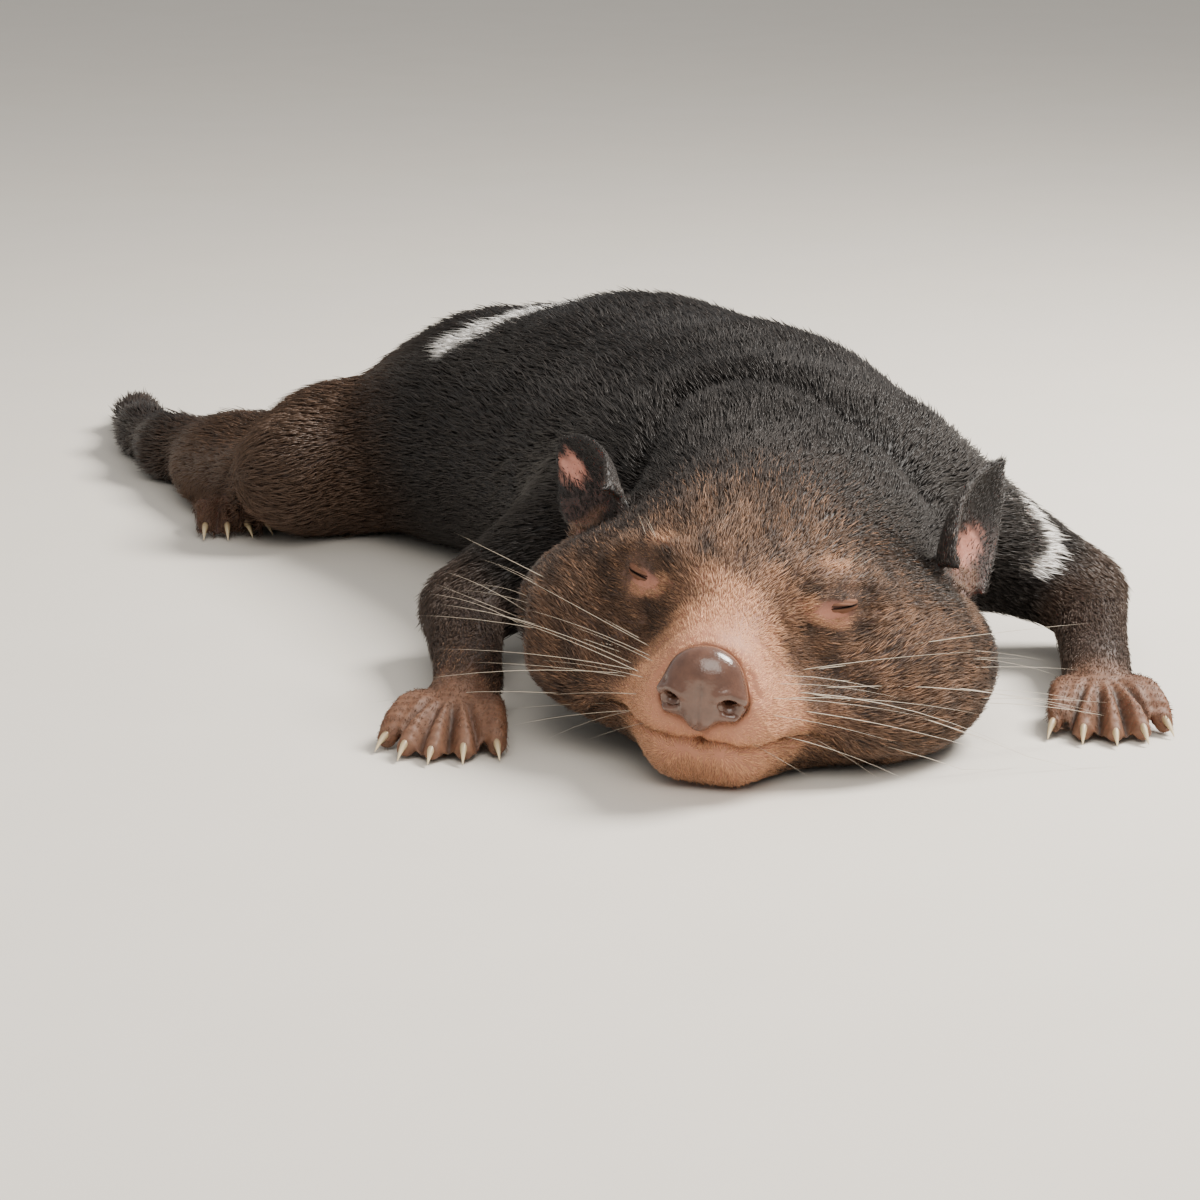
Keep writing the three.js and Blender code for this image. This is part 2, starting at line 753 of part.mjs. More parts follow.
// Closed eyelids
const eyeBalls = [];
for (const side of [1, -1]) {
  const name = side > 0 ? "left" : "right";
  const skin = onSkin(mirrored(EYE.at, side), -EYE.sunk);
  const turn = new THREE.Matrix4().makeRotationY(rad(EYE.tilt * side));
  const frame = headFrame.clone().multiply(turn).setPosition(...skin);
  const ball = (grow) => {
    const sphere = new THREE.SphereGeometry(1, 12, 8);
    sphere.scale(...EYE.size.map((s) => s + grow));
    return solid(sphere, frame);
  };
  for (const lid of [1, -1]) {
    const half = new THREE.BoxGeometry(40, 40, 40);
    half.translate(0, 0, lid * (20 + EYE.slit / 2) - EYE.drop);
    const shape = ball(0).intersect(solid(half, frame));
    place(`${name}_${lid > 0 ? "upper" : "lower"}_eyelid`, largest(shape), COLOUR.bare);
  }
  eyeBalls.push(ball(GAP));
}

// One ear as a cupped leaf, closed all round
function earLeaf(side) {
  const name = side > 0 ? "left" : "right";
  const base = vec(mirrored(EAR.at, side));
  const lean = vec(EAR.lean[name]).normalize();
  const open = vec(EAR.face[name]);
  open.addScaledVector(lean, -open.dot(lean)).normalize();
  const across = new THREE.Vector3().crossVectors(lean, open);
  const corners = [];
  const faces = [];
  const columns = EAR.across + 1;
  const rows = EAR.along + 1;
  for (const layer of [0, 1]) {
    for (let n = 0; n < rows; n += 1) {
      const u = n / EAR.along;
      const cup = rad(THREE.MathUtils.lerp(EAR.cup, EAR.open, Math.sqrt(u)) / 2);
      const half = cup * Math.sqrt(1 - u ** 3 * 0.985);
      const radius = EAR.wide * (0.58 + 0.42 * Math.sin(Math.PI * Math.min(1, u * 0.75 + 0.1)));
      for (let m = 0; m < columns; m += 1) {
        const v = (2 * m) / EAR.across - 1;
        const thick = layer * THREE.MathUtils.lerp(EAR.thick, EAR.rim, Math.max(u, v * v));
        const turn = v * half;
        const p = base.clone().addScaledVector(lean, EAR.long * u - EAR.sunk);
        p.addScaledVector(open, -(radius - thick) * Math.cos(turn) + EAR.curl * u * u);
        p.addScaledVector(across, (radius - thick) * Math.sin(turn));
        corners.push(...p.toArray());
      }
    }
  }
  const at = (layer, n, m) => (layer * rows + n) * columns + m;
  const quad = (a, b, c, d) => faces.push(a, b, c, a, c, d);
  for (let n = 0; n < EAR.along; n += 1) {
    for (let m = 0; m < EAR.across; m += 1) {
      quad(at(0, n, m), at(0, n + 1, m), at(0, n + 1, m + 1), at(0, n, m + 1));
      quad(at(1, n, m), at(1, n, m + 1), at(1, n + 1, m + 1), at(1, n + 1, m));
    }
    quad(at(0, n, 0), at(1, n, 0), at(1, n + 1, 0), at(0, n + 1, 0));
    quad(at(0, n + 1, EAR.across), at(1, n + 1, EAR.across), at(1, n, EAR.across),
      at(0, n, EAR.across));
  }
  for (let m = 0; m < EAR.across; m += 1) {
    quad(at(0, 0, m), at(0, 0, m + 1), at(1, 0, m + 1), at(1, 0, m));
    quad(at(1, EAR.along, m), at(1, EAR.along, m + 1), at(0, EAR.along, m + 1),
      at(0, EAR.along, m));
  }
  const geometry = new THREE.BufferGeometry();
  geometry.setAttribute("position", new THREE.Float32BufferAttribute(corners, 3));
  geometry.setIndex(faces);
  const leaf = solid(geometry, headFrame);
  return leaf;
}

// Head, lower jaw and the lengths of the trunk, between cuts across the spine
function cutTrunk(name, cell, from, to, colour = COLOUR.coat, takeAway = []) {
  let region = halfSpace(from.at, from.along, GAP / 2);
  region = region.subtract(halfSpace(to.at, to.along, -GAP / 2));
  let shape = fleshNear(region, cell).intersect(region).intersect(aboveFloor);
  [...regions, ...takeAway].forEach((other) => {
    shape = shape.subtract(other);
  });
  place(name, largest(shape), colour);
}

// Box under the mouth line
function jawBox(grow) {
  const long = vec(MOUTH.corner).sub(vec(MOUTH.front));
  const box = new THREE.BoxGeometry(MOUTH.wide, MOUTH.deep, long.length() + 2 * grow);
  box.translate(0, grow - MOUTH.deep / 2, long.length() / 2);
  return solid(box, headFrame.clone().multiply(aimed(MOUTH.front, long.toArray())));
}

const jawRegion = jawBox(0);
let jaw = fleshNear(jawRegion, CELL.head).intersect(jawRegion).intersect(aboveFloor);
jaw = jaw.subtract(nosePocket);
place("lower_jaw", largest(jaw), COLOUR.coat);

const headBits = [jawBox(GAP), nosePocket, ...eyeBalls];
const earSpace = new THREE.BoxGeometry(320, 200, 240);
earSpace.translate(0, 100, 20);
const headFlesh = fleshNear(solid(earSpace, headFrame), CELL.head, GAP);
for (const side of [1, -1]) {
  const leaf = earLeaf(side).subtract(headFlesh);
  place(`${side > 0 ? "left" : "right"}_ear`, largest(leaf), COLOUR.bare);
}

cutTrunk("head", CELL.head, CUT.front, CUT.nape, COLOUR.coat, headBits);
cutTrunk("neck", CELL.neck, CUT.nape, CUT.withers);
cutTrunk("chest", CELL.torso, CUT.withers, CUT.waist);
cutTrunk("abdomen", CELL.torso, CUT.waist, CUT.loins);
cutTrunk("rump", CELL.torso, CUT.loins, CUT.end);

// The whole model stands on the floor with its middle over the origin
const around = new THREE.Box3().setFromObject(group);
const centre = around.getCenter(new THREE.Vector3());
group.children.forEach((mesh) => {
  mesh.geometry.translate(-centre.x, -centre.y, -around.min.z);
});

export default group;
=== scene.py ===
"""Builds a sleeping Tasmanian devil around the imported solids, with its coat and stage."""

import math

import bmesh
import bpy
import numpy as np
from mathutils import Matrix, Vector
from mathutils.bvhtree import BVHTree
from mathutils.kdtree import KDTree


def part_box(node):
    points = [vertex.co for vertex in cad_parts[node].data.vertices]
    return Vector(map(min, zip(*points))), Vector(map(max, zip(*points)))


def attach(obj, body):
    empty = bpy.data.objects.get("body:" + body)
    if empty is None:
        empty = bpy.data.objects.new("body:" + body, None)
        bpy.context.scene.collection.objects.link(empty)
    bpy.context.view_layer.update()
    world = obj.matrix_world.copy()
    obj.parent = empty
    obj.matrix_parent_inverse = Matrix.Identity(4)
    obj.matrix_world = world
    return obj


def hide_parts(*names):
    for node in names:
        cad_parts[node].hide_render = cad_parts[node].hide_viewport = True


bl_info = {
    "name": "Sleeping Tasmanian Devil",
    "version": (1, 0, 0),
    "blender": (4, 5, 0),
    "location": "3D View > Sidebar > Devil",
    "description": "A life-size still figure of a Tasmanian devil asleep on its belly",
    "category": "Object",
}

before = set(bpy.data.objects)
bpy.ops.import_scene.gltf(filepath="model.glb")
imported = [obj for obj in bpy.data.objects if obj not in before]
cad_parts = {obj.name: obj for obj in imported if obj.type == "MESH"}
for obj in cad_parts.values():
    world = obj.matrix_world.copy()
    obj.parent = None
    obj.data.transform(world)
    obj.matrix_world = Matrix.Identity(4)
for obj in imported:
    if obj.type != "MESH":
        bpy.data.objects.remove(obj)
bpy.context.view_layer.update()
MM = 0.001
SEED = 20

# The working frame, in mm: its origin is where the chin meets the floor
NOSE_MIDDLE = (2.372, -14.374, 36.31)
HEAD_AT = (2, -18, 38)
HEAD_YAW = -14
HEAD_ROLL = 6

low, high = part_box("nose_pad")
SHIFT = (low + high) / 2 / MM - Vector(NOSE_MIDDLE)
WORK = Matrix.Scale(MM, 4) @ Matrix.Translation(SHIFT)
HEAD = (
    WORK
    @ Matrix.Translation(HEAD_AT)
    @ Matrix.Rotation(math.radians(HEAD_YAW), 4, "Z")
    @ Matrix.Rotation(math.radians(HEAD_ROLL), 4, "Y")
)

NODES = sorted(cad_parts)
LIDS = [name for name in NODES if "eyelid" in name]
CLAWS = [name for name in NODES if "claw" in name]
# Nodes of flesh that one skin stands for
FLESH = [name for name in NODES if name not in (*LIDS, *CLAWS, "nose_pad")]
SIDES = (1, -1)

# Lie of the coat. Each row: frame, start, end, reach, hair length, hair width,
# depth of coat, angle at the root, room per tuft in mm, and the group it belongs to
BOTH = "both sides of the head"
ONE = "middle of the head"
BODY = "body"
LIE = [
    (ONE, (0, 6, 12), (0, 38, 22), 15, 2.4, 0.21, 0.5, 24, 0.62, "muzzle"),
    (BOTH, (14, 10, -6), (32, 46, -8), 15, 2.6, 0.21, 0.5, 24, 0.62, "muzzle"),
    (ONE, (0, 6, -28), (0, 56, -34), 20, 3.4, 0.24, 0.8, 26, 0.8, "muzzle"),
    (ONE, (0, 40, 26), (0, 84, 44), 20, 4.6, 0.27, 1.4, 28, 0.85, "face"),
    (BOTH, (16, 40, 22), (46, 78, 32), 16, 4.6, 0.27, 1.3, 28, 0.85, "face"),
    (BOTH, (36, 50, 0), (68, 92, 4), 20, 5.6, 0.3, 1.8, 28, 0.95, "face"),
    (BOTH, (32, 46, -22), (66, 92, -30), 20, 6.4, 0.32, 2.2, 30, 1.0, "face"),
    (ONE, (0, 86, 46), (0, 140, 40), 42, 7.5, 0.37, 2.6, 32, 1.1, "crown"),
    (BOTH, (46, 84, 26), (74, 124, 22), 18, 6.4, 0.34, 2.2, 30, 1.0, "crown"),
    (BODY, (34, 118, 60), (33, 158, 60), 62, 10, 0.48, 3.6, 32, 1.35, "neck"),
    (BODY, (33, 158, 60), (15, 222, 60), 70, 11, 0.53, 4.2, 30, 1.45, "back"),
    (BODY, (15, 222, 60), (-17, 290, 60), 70, 12, 0.56, 4.4, 28, 1.5, "back"),
    (BODY, (-17, 290, 58), (-68, 342, 50), 62, 12, 0.58, 4.4, 28, 1.5, "rump"),
    (BODY, (-68, 342, 50), (-130, 384, 32), 46, 12, 0.58, 4.2, 28, 1.5, "rump"),
    (BODY, (-136, 390, 25), (-182, 420, 18), 26, 12, 0.56, 3.2, 30, 1.45, "tail"),
    (BODY, (-182, 420, 18), (-232, 512, 11), 20, 12, 0.53, 2.6, 32, 1.4, "tail"),
    (BODY, (-232, 512, 11), (-244, 606, 5), 16, 12, 0.48, 1.8, 34, 1.3, "tail"),
    (BODY, (74, 160, 52), (144, 168, 23), 30, 8.5, 0.45, 3.2, 26, 1.35, "arms"),
    (BODY, (144, 168, 23), (140, 99, 14), 18, 6, 0.37, 1.8, 24, 1.2, "arms"),
    (BODY, (140, 99, 14), (139, 62, 9), 14, 2.4, 0.22, 0.5, 20, 0.9, "arms"),
    (BODY, (-14, 168, 54), (-79, 152, 21), 28, 8.5, 0.45, 3.0, 26, 1.35, "arms"),
    (BODY, (-79, 152, 21), (-74, 80, 14), 18, 6, 0.37, 1.8, 24, 1.2, "arms"),
    (BODY, (-74, 80, 14), (-82, 36, 9), 14, 2.4, 0.22, 0.5, 20, 0.9, "arms"),
    (BODY, (-58, 384, 38), (-14, 384, 30), 34, 10, 0.53, 3.6, 28, 1.45, "legs"),
    (BODY, (-14, 384, 30), (-58, 438, 13), 20, 7, 0.43, 2.2, 26, 1.3, "legs"),
    (BODY, (-58, 438, 13), (3, 402, 8), 12, 3.4, 0.29, 0.5, 22, 1.15, "legs"),
    (BODY, (-138, 364, 28), (-154, 337, 30), 34, 10, 0.53, 3.6, 28, 1.45, "legs"),
    (BODY, (-154, 337, 30), (-202, 420, 12), 20, 7, 0.43, 2.2, 26, 1.3, "legs"),
    (BODY, (-202, 420, 12), (-184, 355, 8), 12, 3.4, 0.29, 0.5, 22, 1.15, "legs"),
]
GROUPS = ["muzzle", "face", "crown", "neck", "back", "rump", "tail", "arms", "legs"]

# Places of the head with their own finer coat: point, full within, none beyond, sizes
FINE = [
    ((33, 45, 20), 6, 13, (2.2, 0.2, 0.4, 22, 0.6)),
    ((0, 3, -2), 15, 23, (1.6, 0.2, 0.2, 20, 0.55)),
]

# How steeply a row of LIE gives way to the next
LIE_FALL = 1.6

# Ears in the head frame: root, the way they lean, the way they open, and the bare spot
EARS = {
    "left_ear": ((66, 102, 28), (0.22, 0.56, 0.8), (0.84, -0.54, 0.05), (62.5, 113, 29)),
    "right_ear": ((-66, 102, 28), (-0.6, 0.72, 0.36), (-0.6, -0.7, 0.35), (-78, 127, 31)),
}
EAR_COAT = (3.0, 0.28, 0.1, 20, 0.8)
EAR_LONG = 46
EAR_SUNK = 8
EAR_CURL = 4
# What is near enough to a solid ear to be ear: searched, surely, and no more, in mm
EAR_ROOM = 4
EAR_NEAR = (1.2, 3.2)
# The bare spot: surely and no more, how much it is drawn out, and how ragged its edge is
EAR_SPOT = (1.5, 6.5)
EAR_SPOT_LONG = 0.45
EAR_SPOT_RAGGED = 0.9
EAR_SPOT_WAVES = (1.1, 0.7, 0.9)
# Thin hair at the root of the cup, and up to where
EAR_THIN = 0.08
EAR_THIN_TO = (8, 22)
# From the rim to the inside, as the share of the normal that points inward
EAR_INSIDE = (-0.1, 0.4)

# Feet: middle of the palm, way of the digits, half the width, height, and how bare
FEET = {
    "left_fore": ((139, 84, 9), (0.02, -1, 0), 29, 30, 1),
    "right_fore": ((-77, 62, 9), (-0.196, -0.981, 0), 27, 30, 1),
    "left_hind": ((3, 402, 8), (0.861, -0.508, 0), 18, 15, 0.35),
    "right_hind": ((-184, 369, 8), (0.333, -0.943, 0), 17, 15, 0.35),
}
# In front of the palm, where the foot starts and ends, and how soft its sides are, in mm
FOOT_START = (-10, 12)
FOOT_END = (44, 50)
FOOT_SIDE = 3
# Furrows between the digits: half the width in mm, share of the height that is lost
# at the claws and on the hand, how far they run to the palm, and the height that stays
FURROW = (1.7, 0.9, 0.07)
FURROW_REACH = 0.66
FURROW_FLOOR = 0.8
FURROW_BEND = 1.5
# Creases across the digits: from crease to crease, depth, and where they start, in mm
FOOT_CREASE = (3.1, 0.2)
FOOT_CREASE_FROM = (4, 9)


# Small helpers for arrays of points


def spots_of(mesh):
    """The mesh's corners as rows of three numbers."""
    flat = np.empty(len(mesh.vertices) * 3, np.float32)
    mesh.vertices.foreach_get("co", flat)
    return flat.reshape(-1, 3).astype(np.float64)


def set_spots(mesh, spots):
    """Moves the mesh's corners to these rows."""
    mesh.vertices.foreach_set("co", spots.astype(np.float32).ravel())
    mesh.update()


def normals_of(mesh):
    """The normal at each corner."""
    flat = np.empty(len(mesh.vertices) * 3, np.float32)
    mesh.vertex_normals.foreach_get("vector", flat)
    return flat.reshape(-1, 3).astype(np.float64)


def seen_from(matrix, spots):
    """Points of the row frame in a frame given by its matrix, in mm."""
    turn = np.array(matrix.inverted())
    return spots @ turn[:3, :3].T + turn[:3, 3]


def unit(rows):
    """Rows scaled to length one."""
    return rows / np.maximum(np.linalg.norm(rows, axis=1, keepdims=True), 1e-12)


def segment_distance(spots, start, end):
    """Distance from each point to a segment, and how far along it the nearest point is."""
    start, end = np.array(start, float), np.array(end, float)
    along = end - start
    share = np.clip((spots - start) @ along / max(along @ along, 1e-9), 0, 1)
    return np.linalg.norm(spots - start - share[:, None] * along, axis=1), share


def path_distance(spots, path):
    """Distance from each point to a broken line."""
    return np.min(
        [segment_distance(spots, a, b)[0] for a, b in zip(path, path[1:])], axis=0
    )


def smooth(low, high, value):
    """Zero below low, one above high, and an even slope between them."""
    share = np.clip((value - low) / (high - low), 0, 1)
    return share * share * (3 - 2 * share)


def eased(rows, edges, rate, rounds):
    """Rows drawn towards the mean of their neighbours, by a rate for each row."""
    rows = rows.copy()
    count = np.maximum(np.bincount(edges.ravel(), minlength=len(rows)), 1)
    for _ in range(rounds):
        for axis in range(rows.shape[1]):
            column = rows[:, axis]
            total = np.bincount(edges[:, 0], column[edges[:, 1]], len(rows))
            total += np.bincount(edges[:, 1], column[edges[:, 0]], len(rows))
            rows[:, axis] = column + rate * (total / count - column)
    return rows


def edges_of(mesh):
    """Pairs of corners that an edge joins."""
    flat = np.empty(len(mesh.edges) * 2, np.int32)
    mesh.edges.foreach_get("vertices", flat)
    return flat.reshape(-1, 2)


def mirrored(point, side):
    """A point of the head frame, or its twin on the other side."""
    return (point[0] * side, point[1], point[2])


def away_from(spots, middle, sizes=1):
    """Distance from each point to a middle, in shares of a size along each axis."""
    return np.linalg.norm((spots - np.array(middle)) / sizes, axis=1)


def bump_of(distance, width):
    """One at no distance, falling off softly over a width."""
    return np.exp(-((distance / width) ** 2))


# Coat fields


def lie_rows():
    """The rows of LIE in the row frame, with the paired ones on both sides."""
    rows = []
    for where, start, end, *rest in LIE:
        sides = SIDES if where == BOTH else (1,)
        frame_of = WORK if where == BODY else HEAD
        for side in sides:
            a = frame_of @ Vector(mirrored(start, side))
            b = frame_of @ Vector(mirrored(end, side))
            rows.append((np.array(a), np.array(b), *rest))
    return rows


def ear_field(spots, normals):
    """At each point: how much it is ear, how much it is the bare inside, and the lean."""
    ear, inside = np.zeros(len(spots)), np.zeros(len(spots))
    lean = np.zeros((len(spots), 3))
    turn = np.array(HEAD.to_3x3()) / MM
    for node, (root, along, face, bare) in EARS.items():
        tree = BVHTree.FromBMesh(closed_copy(node))
        low, high = (np.array(corner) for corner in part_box(node))
        room = EAR_ROOM * MM
        near = np.flatnonzero(((spots > low - room) & (spots < high + room)).all(axis=1))
        gap = np.array([tree.find_nearest(spot)[3] for spot in spots[near]])
        share = 1 - smooth(*EAR_NEAR, gap / MM)
        along = np.array(along) / np.linalg.norm(along)
        open_way = np.array(face) - along * np.dot(face, along)
        open_way /= np.linalg.norm(open_way)
        spot = seen_from(HEAD, spots[near]) - np.array(root)
        up = spot @ along
        curl = EAR_CURL * np.clip((up + EAR_SUNK) / EAR_LONG, 0, 1) ** 2
        middle = up[:, None] * along + curl[:, None] * open_way
        inward = np.sum(unit(middle - spot) * (normals[near] @ turn), axis=1)
        ear[near] = np.maximum(ear[near], share)
        away = spot + np.array(root) - np.array(bare)
        away -= EAR_SPOT_LONG * (away @ along)[:, None] * along
        ragged = EAR_SPOT_RAGGED * np.sin(spot @ EAR_SPOT_WAVES)
        naked = EAR_THIN * (1 - smooth(*EAR_THIN_TO, up))
        naked += 1 - smooth(*EAR_SPOT, np.linalg.norm(away, axis=1) + ragged)
        naked = np.clip(naked, 0, 1) * smooth(*EAR_INSIDE, inward)
        inside[near] = np.maximum(inside[near], share * naked)
        lean[near] += share[:, None] * (turn @ along)
    return ear, inside, lean


def foot_field(spots):
    """At each point: how much it is bare foot, and how far in front of the palm, in mm."""
    body = seen_from(WORK, spots)
    foot, ahead = np.zeros(len(spots)), np.zeros(len(spots))
    for palm, way, half, high, naked in FEET.values():
        spot = body - np.array(palm)
        front = spot @ np.array(way)
        aside = np.abs(spot @ np.array((way[1], -way[0], 0)))
        share = naked * smooth(*FOOT_START, front) * (1 - smooth(*FOOT_END, front))
        share *= (1 - smooth(half, half + FOOT_SIDE, aside)) * (body[:, 2] < high)
        ahead = np.where(share > foot, front, ahead)
        foot = np.maximum(foot, share)
    return foot, ahead


def furrow_field(spots):
    """Distance in plan to the nearest furrow of the feet, in mm, and how far back it is."""
    seen = seen_from(WORK, spots) * (1, 1, 0)
    away, back = np.full(len(spots), 1e3), np.zeros(len(spots))
    for foot, (palm, *_) in FEET.items():
        names = [name for name in CLAWS if name.startswith(foot)]
        boxes = np.array([np.array(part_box(name)).mean(axis=0) for name in names])
        claws = seen_from(WORK, boxes) * (1, 1, 0)
        for a, b in zip(claws, claws[1:]):
            front = (a + b) / 2
            rear = front + (np.array((palm[0], palm[1], 0)) - front) * FURROW_REACH
            distance, share = segment_distance(seen, front, rear)
            back = np.where(distance < away, share, back)
            away = np.minimum(away, distance)
    return away, back


def coat_fields(spots, normals):
    """At each point: direction of the coat, its sizes in mm, and its group's number."""
    flow = np.zeros((len(spots), 3))
    sizes = np.zeros((len(spots), 5))
    total = np.zeros(len(spots))
    votes = np.zeros((len(spots), len(GROUPS)))
    for a, b, reach, length, width, depth, angle, room, group in lie_rows():
        distance, _ = segment_distance(spots, a, b)
        weight = np.exp(-LIE_FALL * (distance / (reach * MM)) ** 2) + 1e-9
        flow += weight[:, None] * np.array((b - a) / np.linalg.norm(b - a))
        sizes += weight[:, None] * np.array([length, width, depth, angle, room])
        votes[:, GROUPS.index(group)] += weight
        total += weight
    sizes /= total[:, None]
    flow = unit(flow)
    head = seen_from(HEAD, spots)
    for place, full, none, fine in FINE:
        for side in SIDES:
            distance = away_from(head, mirrored(place, side))
            share = 1 - smooth(full, none, distance)[:, None]
            sizes += share * (np.array(fine) - sizes)
    ear, _, lean = ear_field(spots, normals)
    sizes += ear[:, None] * (np.array(EAR_COAT) - sizes)
    flow = unit(flow * (1 - ear[:, None]) + lean)
    return flow, sizes, votes.argmax(axis=1)


# Markings shared by the skin and the coat, in mm: how tan, white, grey, foot and bare

# Paths in the working frame, and half the width
WHITE_BANDS = [
    (((119, 157, 61), (125, 151, 52), (128, 148, 45), (127, 146, 40), (124, 144, 38)), 4),
    (((-88, 307, 90), (-74, 309, 96), (-58, 313, 102), (-48, 310, 105), (-38, 304, 107)), 8.5),
]
WHITE_EDGE = (0.8, 1.25)
# Warmer brown hair, and on the near haunch also painted sunlight that makes it lighter. Each
# row: frame, path, full within, none beyond, share of tan
WARM_AND_SUNLIT = [
    # near haunch: browner hair together with painted sunlight on the side the sun lit
    (BODY, ((-138, 364, 40), (-154, 337, 30), (-190, 395, 16)), 20, 78, 0.1),
    (BODY, ((-58, 384, 38), (-14, 384, 30)), 10, 64, 0.05),
    (BODY, ((144, 168, 23), (140, 99, 14)), 14, 26, 0.07),
    (BODY, ((-79, 152, 21), (-74, 80, 14)), 14, 26, 0.05),
    (BOTH, ((63, 107, 21), (68, 90, 17), (72, 80, 13)), 2.5, 6.5, 0.2),
    (BOTH, ((26, 47, 33), (30, 51, 32)), 1.5, 6, 0.55),
    (BOTH, ((23, 38, 20), (27, 40, 17), (34, 45, 16)), 2, 5, 0.7),
]
# Back from the nose: all tan, and tan no more; then the paler hair of the whole face
MUZZLE = (20, 43)
PALE = 0.14
PALE_TO = (46, 80)
PALE_PATCH = 0.7
# Bare skin around the lids: middle, sizes, from and to as shares of them, and how bare
EYE_RING = (30.5, 43, 19)
EYE_BARE = (8, 9, 3.6)
EYE_BARE_EDGE = (0.5, 1.3)
EYE_BARE_SHARE = 0.45
# Where the painted grey sheen starts on the head, and where it ends on the back
PAINTED_SHEEN_FROM = (60, 130)
PAINTED_SHEEN_TO = (300, 380)
# Painted shade in the furrows of the feet: width in mm, how much darker, and where it fades to
# the palm
FURROW_SHADE_WIDTH = 1.1
FURROW_PAINTED_SHADE = 0.8
FURROW_SHADE_FADE = (0.7, 1)
# The fold where the head is pressed into the neck, in the working frame
CREASE = (
    (-24, 116, 70), (-13, 132, 89), (-4, 151, 100), (10, 153, 105), (28, 152, 107),
    (49, 132, 102), (68, 112, 89), (84, 106, 74),
)


def face_waves(head):
    """Two uneven patterns over the head: a wave of a few mm for edges, and patches."""
    x, y, z = head.T
    wave = np.sin(x * 0.31 + 1.3) * np.sin(z * 0.27) + np.sin(y * 0.55 + x * 0.2)
    patch = np.sin(x * 0.42 + z * 0.3) * np.sin(y * 0.36 - z * 0.38 + x * 0.11)
    return wave * 2.2, patch


def markings(spots, normals):
    """Five shares at each point: tan muzzle and warmer hair with painted sunlight on the near
    haunch, white band, painted grey sheen, foot with painted shade in its furrows, and bare
    pink.
    """
    head = seen_from(HEAD, spots)
    body = seen_from(WORK, spots)
    wave, patch = face_waves(head)
    side = np.abs(head[:, 0])
    back = head[:, 1] + 0.18 * side - 0.12 * np.clip(head[:, 2], -40, 30) + wave
    pale = PALE * (1 - smooth(*PALE_TO, head[:, 1] - 0.12 * side + wave))
    tan = np.maximum(1 - smooth(*MUZZLE, back), pale * (1 + PALE_PATCH * patch))
    # warmer hair, with painted sunlight on the near haunch
    for where, path, full, none, share in WARM_AND_SUNLIT:
        for hand in SIDES if where == BOTH else (1,):
            twin = [mirrored(point, hand) for point in path]
            near = path_distance(body if where == BODY else head, twin)
            tan = np.maximum(tan, share * (1 - smooth(full, none, near)))
    white = np.zeros(len(spots))
    for path, radius in WHITE_BANDS:
        near = (path_distance(body, path) + wave * 0.25) / radius
        white = np.maximum(white, 1 - smooth(*WHITE_EDGE, near))
    _, bare, _ = ear_field(spots, normals)
    for hand in SIDES:
        lid = away_from(head, mirrored(EYE_RING, hand), EYE_BARE)
        bare = np.maximum(bare, EYE_BARE_SHARE * (1 - smooth(*EYE_BARE_EDGE, lid)))
    # painted sheen: greyer hair over the neck and back
    grey = smooth(*PAINTED_SHEEN_FROM, head[:, 1]) * (1 - smooth(*PAINTED_SHEEN_TO, body[:, 1]))
    foot, _ = foot_field(spots)
    away, share = furrow_field(spots)
    # painted shade: in the furrows between the digits the foot colour gives way to the dark pelt
    foot *= 1 - FURROW_PAINTED_SHADE * bump_of(away, FURROW_SHADE_WIDTH) * (1 - smooth(*FURROW_SHADE_FADE, share))
    return np.stack([tan, white, grey, foot, bare], axis=1)


# Materials


def linear(code):
    """A colour in sRGB hex as the linear colour that a shader takes."""
    parts = [int(code[n : n + 2], 16) / 255 for n in (1, 3, 5)]
    return [
        *(p / 12.92 if p <= 0.04045 else ((p + 0.055) / 1.055) ** 2.4 for p in parts),
        1,
    ]


def add_node(tree, kind, settings=None, values=None, links=None):
    """Adds a node, sets its properties and inputs, and links inputs from other sockets."""
    node = tree.nodes.new(kind)
    for name, value in (settings or {}).items():
        setattr(node, name, value)
    for name, value in (values or {}).items():
        node.inputs[name].default_value = value
    for name, socket in (links or {}).items():
        tree.links.new(socket, node.inputs[name])
    return node


def tint(name, description, default):
    """A setting for a colour, in sRGB hex."""
    return bpy.props.StringProperty(name=name, description=description, default=default)


def new_material(name, **values):
    """A material of one Principled shader with these values, with its tree and shader."""
    material = bpy.data.materials.new(name)
    material.use_nodes = True
    tree = material.node_tree
    shader = tree.nodes["Principled BSDF"]
    for key, value in values.items():
        shader.inputs[key.replace("_", " ")].default_value = value
    return material, tree, shader


def mixed(tree, share, first, second):
    """The socket of a mix of two colours, each a hex code or a socket."""
    node = add_node(tree, "ShaderNodeMix", {"data_type": "RGBA"})
    for name, socket in (("Factor", share), ("A", first), ("B", second)):
        found = [
            s
            for s in node.inputs
            if s.name == name and s.type == ("VALUE" if name == "Factor" else "RGBA")
        ][0]
        if isinstance(socket, str):
            found.default_value = linear(socket)
        elif isinstance(socket, (int, float)):
            found.default_value = socket
        else:
            tree.links.new(socket, found)
    return [s for s in node.outputs if s.type == "RGBA"][0]


def noise(tree, size_mm, detail=3):
    """The value of a noise whose grains are about size_mm across, on Object coordinates."""
    place = add_node(tree, "ShaderNodeTexCoord")
    node = add_node(
        tree, "ShaderNodeTexNoise",
        values={"Scale": 1 / (size_mm * MM), "Detail": detail, "Roughness": 0.55},
        links={"Vector": place.outputs["Object"]},
    )
    return node.outputs["Fac"]


def attribute(tree, name):
    """The node that reads one of the mesh's attributes."""
    return add_node(tree, "ShaderNodeAttribute", {"attribute_name": name})


def bumped(tree, shader, height, strength, deep):
    """Fine relief from a socket of heights, deep in mm."""
    bump = add_node(
        tree, "ShaderNodeBump",
        values={"Strength": strength, "Distance": deep * MM}, links={"Height": height},
    )
    tree.links.new(bump.outputs["Normal"], shader.inputs["Normal"])
    return bump


